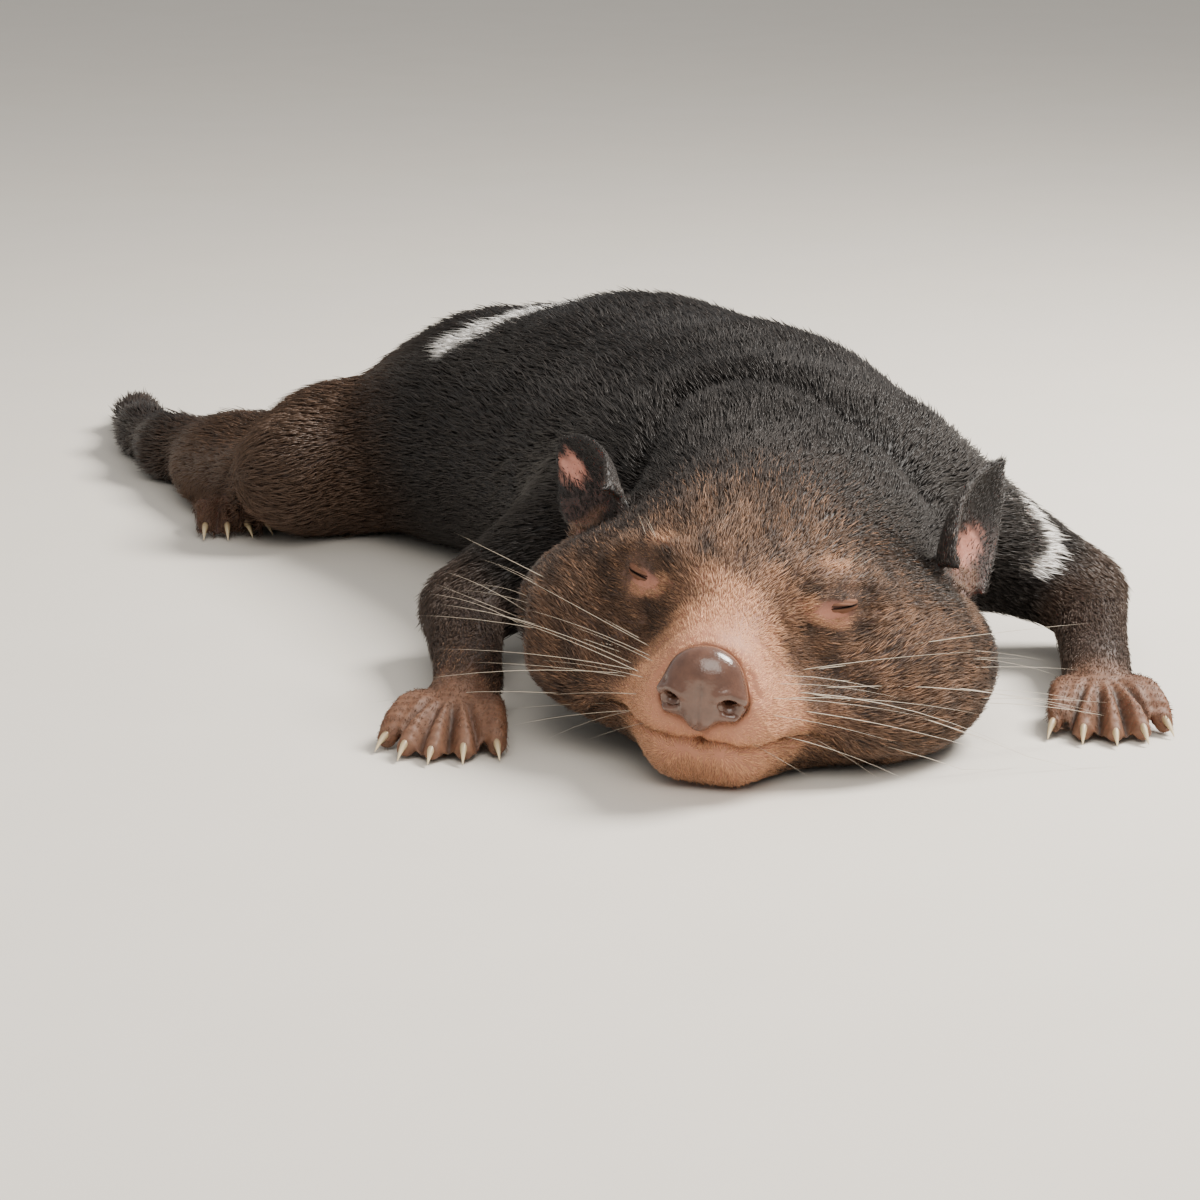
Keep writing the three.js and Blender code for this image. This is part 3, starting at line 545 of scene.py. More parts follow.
def pelt_colour(tree, s, grey, foot):
    """The colour of hair or skin from the markings, with broad and fine variation."""
    marks = attribute(tree, "pelt")
    parts = add_node(tree, "ShaderNodeSeparateColor", links={"Color": marks.outputs["Color"]})
    base = mixed(tree, noise(tree, 26), s.dark, s.brown)
    # the blue share paints the grey sheen of the neck and back
    base = mixed(tree, parts.outputs["Blue"], base, grey)
    tan = mixed(tree, noise(tree, 3), s.tan, s.rose)
    base = mixed(tree, parts.outputs["Red"], base, tan)
    base = mixed(tree, marks.outputs["Alpha"], base, foot)
    return mixed(tree, parts.outputs["Green"], base, s.white)


def skin_material():
    """Thin skin under short fur: matt, with fine creases, pink where it is bare."""
    s = bpy.context.scene.devil_skin
    material, tree, shader = new_material(
        "skin_under_fur", Roughness=0.62, Subsurface_Weight=0.04
    )
    foot = mixed(tree, noise(tree, 2.4), s.foot, s.foot_deep)
    flesh = mixed(tree, noise(tree, 1.8), s.pink, s.pink_deep)
    naked = attribute(tree, "bare").outputs["Fac"]
    colour = mixed(tree, naked, pelt_colour(tree, s, s.dark, foot), flesh)
    tree.links.new(colour, shader.inputs["Base Color"])
    bumped(tree, shader, noise(tree, 0.8, 4), 0.5, 0.3)
    return material


def hair_material():
    """Short guard hair: dark with a dull sheen, a little lighter at the tips."""
    s = bpy.context.scene.devil_coat
    material, tree, shader = new_material("guard_hair", Roughness=0.46, Specular_IOR_Level=0.4)
    sums = {"operation": "MULTIPLY_ADD"}
    along = attribute(tree, "along").outputs["Fac"]
    rise = add_node(tree, "ShaderNodeMath", sums, {1: 0.7, 2: 0.25}, {0: along})
    light = add_node(
        tree, "ShaderNodeMath", sums, {1: 0.9},
        {0: attribute(tree, "tone").outputs["Fac"], 2: rise.outputs["Value"]},
    )
    shade = add_node(
        tree, "ShaderNodeVectorMath", {"operation": "SCALE"},
        links={"Vector": pelt_colour(tree, s, s.grey, s.foot), "Scale": light.outputs["Value"]},
    )
    tree.links.new(shade.outputs["Vector"], shader.inputs["Base Color"])
    return material


# Objects


def new_object(name, mesh, material=None):
    """Links a mesh to the scene under a name."""
    mesh.name = name
    obj = bpy.data.objects.new(name, mesh)
    bpy.context.scene.collection.objects.link(obj)
    if material:
        mesh.materials.append(material)
    return obj


def mesh_from(bm, name):
    """A mesh from a bmesh, which is freed."""
    mesh = bpy.data.meshes.new(name)
    bm.to_mesh(mesh)
    bm.free()
    return mesh


def shade_smooth(mesh):
    """All faces smooth."""
    mesh.polygons.foreach_set("use_smooth", np.ones(len(mesh.polygons), bool))


def applied(obj):
    """Turns the object's modifiers into its mesh."""
    graph = bpy.context.evaluated_depsgraph_get()
    mesh = bpy.data.meshes.new_from_object(obj.evaluated_get(graph))
    old = obj.data
    obj.modifiers.clear()
    obj.data = mesh
    bpy.data.meshes.remove(old)
    return obj


def closed_copy(node, grow=0.0):
    """One CAD solid with its corners merged, and each pushed out by grow metres."""
    piece = bmesh.new()
    piece.from_mesh(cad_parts[node].data)
    bmesh.ops.remove_doubles(piece, verts=piece.verts, dist=0.01 * MM)
    piece.normal_update()
    pushed = [v.co + v.normal * grow for v in piece.verts]
    for v, spot in zip(piece.verts, pushed):
        v.co = spot
    return piece


def remeshed(obj, voxel):
    """The object closed into one even surface of squares."""
    change = obj.modifiers.new("even", "REMESH")
    change.mode = "VOXEL"
    change.voxel_size = voxel
    return applied(obj)


def write_attribute(mesh, name, kind, field, values):
    """One value for each corner of the mesh."""
    layer = mesh.attributes.new(name, kind, "POINT")
    layer.data.foreach_set(field, values.astype(np.float32).ravel())


# Sculpted forms of the head, in the head frame, in mm: path, width, height
FORMS = [
    # line of the mouth, from under the nose to its corner
    (
        ((0, 6, -20), (10, 6, -20), (19, 9, -19), (29, 22, -18.2), (38, 34, -18), (45, 50, -18)),
        1.5, -2.3,
    ),
    # upper lip that swells over the line
    (((5, 3, -15), (16, 8, -14.5), (27, 20, -13), (36, 36, -13)), 4.5, 1.1),
    # lower lip
    (((3, 8, -25), (16, 13, -24.5), (28, 26, -23.5)), 4, 0.9),
    # groove from the nose down to the lip
    (((0, 1, -13), (0, 4, -18)), 1.2, -0.8),
    # fold behind the wing of the nose
    (((14, 6, 5), (16, 8, -3), (12, 6, -11)), 1.8, -0.8),
    # hollow in front of the eye
    (((20, 32, 13), (25, 39, 14)), 6, -1.2),
    # ridge of the brow above the eye
    (((22, 46, 29), (32, 50, 30), (42, 56, 27)), 5, 1.1),
    # folds under and over the eye
    (((24, 38, 14), (33, 43, 12.5), (42, 51, 14)), 1.8, -0.6),
    (((25, 42, 25), (33, 47, 26.5), (41, 54, 25)), 1.6, -0.5),
    # bed of the closed lids
    (((27.5, 41.5, 18.5), (31.5, 44, 19), (36, 47.5, 19.5)), 4.2, -0.75),
    # corners of the eye
    (((22, 37, 18), (26, 40, 19)), 1.2, -0.7),
    (((40, 49, 20), (46, 56, 20)), 1.2, -0.6),
    # fold between the lip and the cheek
    (((33, 34, 8), (38, 40, -4), (45, 52, -14)), 3, -1.0),
    # wrinkles on the side of the muzzle
    (((12, 18, 12), (20, 24, 4)), 1.4, -0.4),
    (((14, 24, 15), (23, 31, 6)), 1.4, -0.4),
    (((16, 31, 17), (25, 38, 9)), 1.5, -0.35),
]


# Forms of the body, in the working frame: the fold behind the head
BODY_FORMS = [(CREASE, 8, -3.6)]
# How far around the middle of a form the surface is searched for it, and steps of a length
FORM_ROOM = 90
FORM_STEPS = 5


def furrowed(spots):
    """Presses the feet down to the floor between each digit and the next."""
    away, back = furrow_field(spots)
    width, deep, shallow = FURROW
    lost = (deep * (1 - back) ** FURROW_BEND + shallow) * bump_of(away, width)
    spots[:, 2] -= lost * np.maximum(spots[:, 2] - FURROW_FLOOR * MM, 0)
    return spots


def creased(spots, normals):
    """Shallow creases across the digits."""
    foot, ahead = foot_field(spots)
    run, deep = FOOT_CREASE
    fold = deep * foot * smooth(*FOOT_CREASE_FROM, ahead) * np.cos(2 * math.pi * ahead / run)
    return spots + normals * (fold * MM)[:, None]


def sculpt(spots, normals, frame_of, forms, twins=True):
    """Raises and sinks a surface along the forms, on both sides of the head or once."""
    seen = seen_from(frame_of, spots)
    lift = np.zeros(len(spots))
    for path, width, height in forms:
        for side in SIDES if twins and any(point[0] for point in path) else (1,):
            twin = np.array([mirrored(point, side) for point in path], float)
            # the path is laid on the surface first
            steps = [
                a + (b - a) * n / FORM_STEPS
                for a, b in zip(twin, twin[1:]) for n in range(FORM_STEPS)
            ]
            steps.append(twin[-1])
            near = seen[away_from(seen, twin.mean(axis=0)) < FORM_ROOM]
            laid = [near[away_from(near, step).argmin()] for step in steps]
            lift += height * bump_of(path_distance(seen, laid), width)
    return spots + normals * (lift * MM)[:, None]


class DevilSkinSettings(bpy.types.PropertyGroup):
    """Sizes and colours of the skin."""

    voxel: bpy.props.FloatProperty(
        name="Grid", description="Size of the grid it is closed on",
        default=1.0 * MM, unit="LENGTH",
    )
    grow: bpy.props.FloatProperty(
        name="Grow", description="How far the solids grow first, to close the gaps",
        default=0.35 * MM, unit="LENGTH",
    )
    most_faces: bpy.props.IntProperty(
        name="Faces", description="Triangles it is brought down to", default=190000
    )
    dark: tint("Dark", "Skin of the body", "#15110f")
    brown: tint("Brown", "Paler skin of the body", "#211a16")
    tan: tint("Tan", "Skin of the muzzle", "#a87659")
    rose: tint("Rose", "Pinker skin of the muzzle", "#9c644f")
    white: tint("White", "Skin under white hair", "#ddd4cd")
    pink: tint("Pink", "Bare skin", "#cb9180")
    pink_deep: tint("Deep pink", "Bare skin in folds", "#94523f")
    foot: tint("Foot", "Bare skin of the feet", "#7d573f")
    foot_deep: tint("Deep foot", "Darker skin of the feet", "#4e3325")


class DevilCoatSettings(bpy.types.PropertyGroup):
    """Sizes and colours of the coat."""

    tufts: bpy.props.IntProperty(
        name="Tufts", description="How many tufts the coat has", default=238000
    )
    most_in_piece: bpy.props.IntProperty(
        name="Tufts in a piece", description="Tufts that one piece holds", default=33000
    )
    draw: bpy.props.FloatProperty(
        name="Draw", description="How far tips lean to the middle of their clump",
        default=0.4, subtype="FACTOR",
    )
    dark: tint("Dark", "Darkest hair", "#1c1512")
    brown: tint("Brown", "Brown hair", "#382a20")
    # grey hair of neck and back that stands for a painted sheen
    grey: tint("Grey", "Hair of neck and back", "#292421")
    tan: tint("Tan", "Hair of the muzzle", "#d3a27d")
    rose: tint("Rose", "Pinker hair of the muzzle", "#bd8c6b")
    white: tint("White", "Hair of the white bands", "#f6f3ef")
    foot: tint("Foot", "Hair of the feet", "#6a4d3b")
    whisker: tint("Whisker", "Long hairs of the face", "#bdb09e")


# Easing of the skin: most of it by this much, from and to these depths of coat in mm,
# the face and feet by the least; then how often, and the last light pass
EASE = 0.5
EASE_DEPTHS = (0.4, 3.2)
EASE_LEAST = 0.06
EASE_ROUNDS = 60
EASE_LAST = (0.3, 3)
# Depths of coat between which faces are kept and spared, and how strongly
SPARE_DEPTHS = (0.4, 2.4)
SPARE = 3
LOWEST = 0.1


class DEVIL_OT_skin(bpy.types.Operator):
    """One skin over all the flesh, inside the solids by the depth of the coat"""

    bl_idname = "devil.skin"
    bl_label = "Skin"

    def execute(self, context):
        settings = context.scene.devil_skin
        whole = bmesh.new()
        # the lids close the skin under the eyes, where their own pieces lie on it
        for node in FLESH + LIDS:
            part = mesh_from(closed_copy(node, settings.grow), "part")
            whole.from_mesh(part)
            bpy.data.meshes.remove(part)
        skin = remeshed(new_object("skin", mesh_from(whole, "skin")), settings.voxel)
        mesh = skin.data
        spots, edges = spots_of(mesh), edges_of(mesh)
        _, sizes, _ = coat_fields(spots, normals_of(mesh))
        # the coarse solids of the body are eased most, the face and feet least
        rate = EASE * smooth(*EASE_DEPTHS, sizes[:, 2])
        spots = eased(spots, edges, np.maximum(rate, EASE_LEAST), EASE_ROUNDS)
        spots = eased(spots, edges, rate, EASE_ROUNDS)
        set_spots(mesh, spots)
        spots = spots - normals_of(mesh) * (sizes[:, 2] * MM)[:, None]
        spots = eased(spots, edges, *EASE_LAST)
        set_spots(mesh, spots)
        spots = sculpt(spots, normals_of(mesh), HEAD, FORMS)
        spots = sculpt(spots, normals_of(mesh), WORK, BODY_FORMS, False)
        spots = creased(furrowed(spots), normals_of(mesh))
        spots[:, 2] = np.maximum(spots[:, 2], LOWEST * MM)
        set_spots(mesh, spots)
        # fewer faces on the body, where the coat hides them
        keep = skin.vertex_groups.new(name="keep")
        hidden = 1 - np.round(1 - smooth(*SPARE_DEPTHS, sizes[:, 2]), 1)
        for level in np.unique(hidden):
            keep.add(np.flatnonzero(hidden == level).tolist(), float(level), "REPLACE")
        thin = skin.modifiers.new("thin", "DECIMATE")
        thin.ratio = min(1.0, settings.most_faces / (2 * len(mesh.polygons)))
        thin.vertex_group = "keep"
        thin.vertex_group_factor = SPARE
        skin = applied(skin)
        skin.vertex_groups.clear()
        mesh = skin.data
        mesh.name = "skin"
        shade_smooth(mesh)
        marks = markings(spots_of(mesh), normals_of(mesh))
        write_attribute(mesh, "pelt", "FLOAT_COLOR", "color", marks[:, :4])
        write_attribute(mesh, "bare", "FLOAT", "value", marks[:, 4])
        mesh.materials.append(skin_material())
        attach(skin, "root")
        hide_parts(*FLESH)
        return {"FINISHED"}


def skin_map(skin):
    """The skin's own unwrap, one place for each corner of each face."""
    mesh = skin.data
    layer = mesh.uv_layers.new(name="OFBake")
    mesh.uv_layers.active = layer
    bpy.context.view_layer.objects.active = skin
    skin.select_set(True)
    bpy.ops.object.mode_set(mode="EDIT")
    bpy.ops.mesh.select_all(action="SELECT")
    bpy.ops.uv.smart_project(angle_limit=math.radians(70), island_margin=0.001)
    bpy.ops.object.mode_set(mode="OBJECT")
    skin.select_set(False)
    flat = np.empty(len(mesh.loops) * 2, np.float32)
    mesh.uv_layers["OFBake"].uv.foreach_get("vector", flat)
    return flat.reshape(-1, 2)


def triangles_of(mesh):
    """The corners and the loops of each triangle."""
    mesh.calc_loop_triangles()
    points = np.empty(len(mesh.loop_triangles) * 3, np.int32)
    loops = points.copy()
    mesh.loop_triangles.foreach_get("vertices", points)
    mesh.loop_triangles.foreach_get("loops", loops)
    return points.reshape(-1, 3), loops.reshape(-1, 3)


def blended(values, points, shares):
    """Values at the corners, blended over each root's triangle."""
    return np.einsum("nkc,nk->nc", values[points], shares)


# One tuft or whisker: a root, rings of three corners and a tip, as shares of its width
RING = np.array([(-0.5, 0.0), (0.5, 0.0), (0.0, 0.5)])
TUFT_WIDE = (1.0,)
TUFT_AT = (0, 0.42, 1)
WHISKER_WIDE = (1.0, 1.0, 0.86, 0.7, 0.54, 0.36)
PATCH = 0.003
ROOT_SUNK = 0.3


def strand_faces(rings):
    """The faces of one strand: three at the root, three around each length, three at the tip."""
    around = ((0, 1), (1, 2), (2, 0))
    low, tip, root = 3 * rings - 3, 3 * rings, 3 * rings + 1
    faces = [(b, a, root) for a, b in around]
    for n in range(0, low, 3):
        faces += [(n + a, n + b, n + b + 3, n + a + 3) for a, b in around]
    return faces + [(low + a, low + b, tip) for a, b in around]


def strand_corners(line, across, up, width, taper):
    """The corners of strands whose middles run along these lines of points."""
    corners = []
    for n, wide in enumerate(taper):
        for x, y in RING:
            corners.append(line[n + 1] + (across * x + up * y) * (wide * width)[:, None])
    return np.stack([*corners, line[-1], line[0]], axis=1)


def strand_places(patches, rings):
    """The map of every corner of every face of a strand, each strand in its own patch."""
    shares = []
    for n, face in enumerate(strand_faces(rings)):
        side = n % 3
        for corner in face:
            end = corner >= 3 * rings
            edge = side + (0.5 if end else corner % 3 != side)
            level = (1 + corner // 3) / (rings + 1)
            shares.append((edge / 3, (1 - corner % 3) if end else level))
    spread = (np.array(shares) - 0.5) * PATCH
    return patches[:, None, :] + spread[None]


def coat_piece(name, corners, patches, tone, pelt, material):
    """Joins strands into one mesh with its attributes and its map."""
    count, each = corners.shape[:2]
    rings = each // 3
    faces = strand_faces(rings)
    mesh = bpy.data.meshes.new(name)
    mesh.vertices.add(count * each)
    mesh.vertices.foreach_set("co", corners.astype(np.float32).ravel())
    base = np.array([c for face in faces for c in face])
    wide = np.array([len(face) for face in faces])
    mesh.loops.add(count * len(base))
    order = (np.arange(count)[:, None] * each + base[None]).astype(np.int32)
    mesh.loops.foreach_set("vertex_index", order.ravel())
    mesh.polygons.add(count * len(wide))
    starts = np.concatenate([[0], np.cumsum(wide)[:-1]])
    starts = (np.arange(count)[:, None] * len(base) + starts[None]).astype(np.int32)
    mesh.polygons.foreach_set("loop_start", starts.ravel())
    mesh.polygons.foreach_set("material_index", np.zeros(starts.size, np.int32))
    mesh.update(calc_edges=True)
    shade_smooth(mesh)
    layer = mesh.uv_layers.new(name="OFBake")
    layer.uv.foreach_set("vector", strand_places(patches, rings).astype(np.float32).ravel())
    along = [*((1 + np.arange(3 * rings) // 3) / (rings + 1)), 1, 0]
    write_attribute(mesh, "along", "FLOAT", "value", np.tile(along, count))
    write_attribute(mesh, "tone", "FLOAT", "value", np.repeat(tone, each))
    write_attribute(mesh, "pelt", "FLOAT_COLOR", "color", np.repeat(pelt, each, axis=0))
    piece = new_object(name, mesh, material)
    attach(piece, "root")
    return piece


# Waves in the lie of the coat, over metres, and how much each tuft strays by itself
LIE_WAVES = ((0.16, (90, 60, 40)), (0.12, (-150, 210, 130)))
LIE_STRAY = 0.13
# How tufts differ: spread, least and most of their length and of their angle
LENGTHS = (0.16, 0.55, 1.5)
ANGLES = (0.22, 0.4, 1.8)
# Tufts in a clump, and the most that a tip is drawn to it, as a share of its length
CLUMP = 14
CLUMP_DRAW = 0.22
LOWEST_TUFT = 0.05
# Tone of the hair: middle, spread, and how much clumps differ
TONE = (0.5, 0.1, 0.07)
# Painted shade: darker hair in and around the fold behind the head: how much darker, within how
# many mm
CREASE_PAINTED_SHADE = ((0.26, 9), (0.2, 44))
# Single paler hairs of the face: where they fade, how many, and how pale
FLECK_FADE = (60, 112)
FLECKS = 0.12
FLECK_PALE = (0.1, 0.45)


def roots_of(mesh, uv, fields, count, draw):
    """Places of the tufts, with the normal, lie, sizes, group and map place of each."""
    flow, sizes, group = fields
    spots, up = spots_of(mesh), normals_of(mesh)
    points, loops = triangles_of(mesh)
    a, b, c = (spots[points[:, n]] for n in range(3))
    area = np.linalg.norm(np.cross(b - a, c - a), axis=1) / 2
    room = (sizes[points].mean(axis=1)[:, 4] * MM) ** 2
    want = area / room * hair_share((a + b + c) / 3, unit(up[points].mean(axis=1)))
    steps = (np.arange(count) + draw.random(count)) / count * want.sum()
    face = np.searchsorted(np.cumsum(want), steps).clip(0, len(want) - 1)
    u, v = draw.random(count), draw.random(count)
    fold = u + v > 1
    u[fold], v[fold] = 1 - u[fold], 1 - v[fold]
    shares = np.stack([1 - u - v, u, v], axis=1)
    corners = points[face]
    spot, normal, lie, size = (blended(x, corners, shares) for x in (spots, up, flow, sizes))
    places = blended(uv, loops[face], shares)
    return spot, unit(normal), lie, size, group[corners[:, 0]], places


def clumps(roots, draw):
    """The way from each root to the middle of its clump, and the clump's number."""
    heart = roots[draw.permutation(len(roots))[: max(1, len(roots) // CLUMP)]]
    tree = KDTree(len(heart))
    for n, spot in enumerate(heart):
        tree.insert(spot, n)
    tree.balance()
    nearest = np.array([tree.find(spot)[1] for spot in roots])
    return heart[nearest] - roots, nearest


def tuft_tones(roots, nearest, draw):
    """How light each tuft is, with painted shade in and around the fold behind the head."""
    middle, spread, change = TONE
    tone = middle + draw.normal(0, spread, len(roots)) + change * np.sin(nearest * 2.4)
    # painted shade: tufts darken in the fold behind the head and over the crown in front of it
    crease = path_distance(seen_from(WORK, roots), CREASE)
    for much, width in CREASE_PAINTED_SHADE:
        tone -= much * bump_of(crease, width)
    return np.clip(tone, 0.05, 1)


class DEVIL_OT_coat(bpy.types.Operator):
    """Short tufts over the whole skin, in pieces by part of the body"""

    bl_idname = "devil.coat"
    bl_label = "Coat"

    def execute(self, context):
        settings = context.scene.devil_coat
        draw = np.random.default_rng(SEED)
        skin = bpy.data.objects["skin"]
        mesh = skin.data
        uv = skin_map(skin)
        flow, sizes, group = coat_fields(spots_of(mesh), normals_of(mesh))
        flow = unit(eased(flow, edges_of(mesh), 0.5, 12))
        count = int(settings.tufts * (1))
        roots, normal, lie, size, label, patches = roots_of(
            mesh, uv, (flow, sizes, group), count, draw
        )
        # the lie wanders a little from place to place and from tuft to tuft
        wander = sum(much * np.sin(roots @ wave) for much, wave in LIE_WAVES)
        wander += draw.normal(0, LIE_STRAY, count)
        lie = unit(lie - normal * np.sum(lie * normal, axis=1)[:, None])
        lie = unit(lie + np.cross(normal, lie) * wander[:, None])
        for column, (spread, least, most) in ((0, LENGTHS), (3, ANGLES)):
            size[:, column] *= np.clip(draw.normal(1, spread, count), least, most)
        size[:, 1] *= 1 / math.sqrt(count / settings.tufts)
        # tips lean to the middle of their clump
        drawn, nearest = clumps(roots, draw)
        drawn *= settings.draw
        reach = np.linalg.norm(drawn, axis=1, keepdims=True)
        most = size[:, :1] * MM * CLUMP_DRAW
        drawn *= np.minimum(1, most / np.maximum(reach, 1e-9))
        length, angle = size[:, 0] * MM, np.radians(size[:, 3])
        line = []
        for share in TUFT_AT:
            rise = (share - 0.5 * share * share) * np.sin(angle) * length
            line.append(
                roots + drawn * share * share
                + lie * (share * np.cos(angle) * length)[:, None]
                + normal * (rise - ROOT_SUNK * MM)[:, None]
            )
        across = unit(np.cross(lie, normal))
        tufts = strand_corners(line, across, normal, size[:, 1] * MM, TUFT_WIDE)
        tufts[:, :, 2] = np.maximum(tufts[:, :, 2], LOWEST_TUFT * MM)
        pelt = markings(roots, normal)[:, :4]
        tone = tuft_tones(roots, nearest, draw)
        # single paler hairs among the dark ones of the face
        pale = 1 - smooth(*FLECK_FADE, seen_from(HEAD, roots)[:, 1])
        pale *= (draw.random(count) < FLECKS) * draw.uniform(*FLECK_PALE, count)
        pelt[:, 0] += pale * (1 - pelt[:, 0])
        material = hair_material()
        for number, name in enumerate(GROUPS):
            chosen = np.flatnonzero(label == number)
            chosen = chosen[np.argsort(roots[chosen, 1], kind="stable")]
            parts = max(1, math.ceil(len(chosen) / settings.most_in_piece))
            for n, part in enumerate(np.array_split(chosen, parts)):
                coat_piece(
                    f"coat_{name}_{n + 1}", tufts[part], patches[part],
                    tone[part], pelt[part], material,
                )
        return {"FINISHED"}


# Places without hair. Lids and nose: middle, sizes, and from and to as shares of them
LID_BARE = ((7.4, 10, 2.9), (0.8, 1.1))
NOSE_BARE = ((0, 3, 0), (13.6, 10, 12.6), (0.95, 1.1))
EAR_BARE = 0.93
# Feet: how much hair goes, from and to in front of the palm, in mm
FOOT_BARE = ((0.4, (-6, 9)), (0.6, (26, 33)))
# Under the body: how much hair goes below this height in mm, where it faces this far down
UNDER_BARE = (0.9, 3, -0.5)


def hair_share(spots, up):
    """How much of the full coat grows at each point: none on the nose, lids and pads."""
    head = seen_from(HEAD, spots)
    share = np.ones(len(spots))
    for side in SIDES:
        sizes, edge = LID_BARE
        share *= smooth(*edge, away_from(head, mirrored(EYE_RING, side), sizes))
    middle, sizes, edge = NOSE_BARE
    share *= smooth(*edge, away_from(head, middle, sizes))
    _, inside, _ = ear_field(spots, up)
    share *= 1 - EAR_BARE * inside
    foot, ahead = foot_field(spots)
    share *= 1 - foot * sum(much * smooth(*edge, ahead) for much, edge in FOOT_BARE)
    much, height, down = UNDER_BARE
    share *= 1 - much * ((spots[:, 2] < height * MM) & (up[:, 2] < down))
    return share


# Whiskers in the head frame: first and last root, how many, shortest, longest, way
WHISKERS = [
    ((18, 16, 0), (34, 40, 4), 5, 45, 90, (0.86, 0.44, 0.14)),
    ((17, 14, -6), (34, 38, -4), 6, 50, 105, (0.9, 0.36, 0.02)),
    ((16, 13, -11), (33, 36, -12), 5, 45, 95, (0.9, 0.3, -0.1)),
    ((14, 14, -15), (26, 30, -17), 3, 26, 45, (0.84, 0.26, -0.3)),
    ((28, 50, 31), (34, 54, 31), 3, 11, 17, (0.45, 0.6, 0.5)),
    ((66, 66, 4), (68, 76, -12), 6, 35, 62, (0.8, 0.55, 0.02)),
]
# How the roots and the ways stray, shares of the full length, and the bend: sideways,
# along and down, with its spread
WHISKER_STRAY = (0.9, 0.07)
WHISKER_LENGTHS = (0.85, 1.1)
WHISKER_SAG = (0, 0.1, -0.14)
WHISKER_BENDS = 0.04
# Width as a share of the length, and the least and the most in mm
WHISKER_WIDTH = (0.0052, 0.16, 0.42)
WHISKER_SUNK = 0.5
WHISKER_LOWEST = 0.3


class DEVIL_OT_whiskers(bpy.types.Operator):
    """Long single hairs of the lips, brows and cheeks"""

    bl_idname = "devil.whiskers"
    bl_label = "Whiskers"

    def execute(self, context):
        settings = context.scene.devil_coat
        draw = np.random.default_rng(SEED + 1)
        skin = bpy.data.objects["skin"].data
        tree = BVHTree.FromPolygons(
            [v.co for v in skin.vertices], [p.vertices for p in skin.polygons]
        )
        places = skin.uv_layers["OFBake"].uv
        turn = np.array(HEAD.to_3x3()) / MM
        roots, ways, lengths, patches = [], [], [], []
        for first, last, count, short, long, way in WHISKERS:
            for side in SIDES:
                for n in range(count):
                    share = n / (count - 1)
                    spot = np.array(first) + share * (np.array(last) - first)
                    spot += draw.normal(0, WHISKER_STRAY[0], 3)
                    found = tree.find_nearest(HEAD @ Vector(mirrored(spot, side)))
                    root, normal, face, _ = found
                    roots.append(np.array(root) - np.array(normal) * WHISKER_SUNK * MM)
                    aim = np.array(way) + draw.normal(0, WHISKER_STRAY[1], 3)
                    ways.append(turn @ np.array(mirrored(aim, side)))
                    length = short + share * (long - short)
                    lengths.append(length * draw.uniform(*WHISKER_LENGTHS))
                    patches.append(places[skin.polygons[face].loop_start].vector[:])
        roots, ways = np.array(roots), unit(np.array(ways))
        lengths = np.array(lengths)[:, None] * MM
        sag = np.array(WHISKER_SAG) + draw.normal(0, WHISKER_BENDS, (len(roots), 3))
        rings = len(WHISKER_WIDE)
        line = [
            roots + lengths * (ways * share + sag * share * share)
            for share in (0, *np.linspace(0.04, 1, rings + 1))
        ]
        across = unit(np.cross(ways, (0, 0, 1)))
        up = unit(np.cross(across, ways))
        share, least, most = WHISKER_WIDTH
        width = np.clip(lengths[:, 0] * share, least * MM, most * MM)
        corners = strand_corners(line, across, up, width, WHISKER_WIDE)
        corners[:, :, 2] = np.maximum(corners[:, :, 2], WHISKER_LOWEST * MM)
        # pale stiff hair that catches the light
        material, _, _ = new_material(
            "whisker_hair", Roughness=0.35, Base_Color=linear(settings.whisker)
        )
        tone, pelt = np.full(len(roots), TONE[0]), np.zeros((len(roots), 4))
        coat_piece("whiskers", corners, np.array(patches), tone, pelt, material)
        return {"FINISHED"}


# Nose, lids and claws

# Forms of the nose pad, in the head frame, in mm: path, width, height
NOSE_FORMS = [
    # opening of the nostril, and the slit that runs back from it
    (((10, -6, -5.2), (12, -4, -6.2)), 2.3, -4.4),
    (((11.8, -4, -6.8), (15.2, 2, -7)), 1.3, -1.9),
    # wing around the nostril
    (((6, -6, -2.4), (10, -4, -1.2), (14, 0, -3.2)), 2.0, 0.9),
    (((6.6, -6, -7.4), (9.4, -5, -10), (13, -2, -9.6)), 1.8, 0.8),
    # groove down the middle
    (((0, -5, 1), (0, -5, -8), (0, -2, -15)), 1.0, -1.0),
]
NOSE_GROW = 0.3
# Easing of the nose pad before and after its forms: how much, how often
NOSE_EASE = (0.5, 40)
NOSE_EASE_LAST = (0.4, 3)
# Lids: half the size of both together, the way from the middle of the solid ones, tilt
LID_SIZE = (8.2, 6.1, 3.5)
LID_SHIFT = (-1.2, -0.9, -1.0)
LID_TILT = -8
LID_TURNS = (56, 44)
# Rounding of the edges as a share of the size, and its steps
LID_ROUND = (0.07, 4)
# Folds along the slit: from fold to fold, depth, where they start, and how they bow
LID_FOLD = (1.3, 0.16)
LID_FOLD_FROM = (0.7, 1.4)
LID_BOW = 0.025
# The dark rim of the slit: from and to, how it bows, and how far the slit droops
LID_RIM = (0.35, 0.8)
LID_RIM_BOW = 0.004
LID_DROOP = 0.35


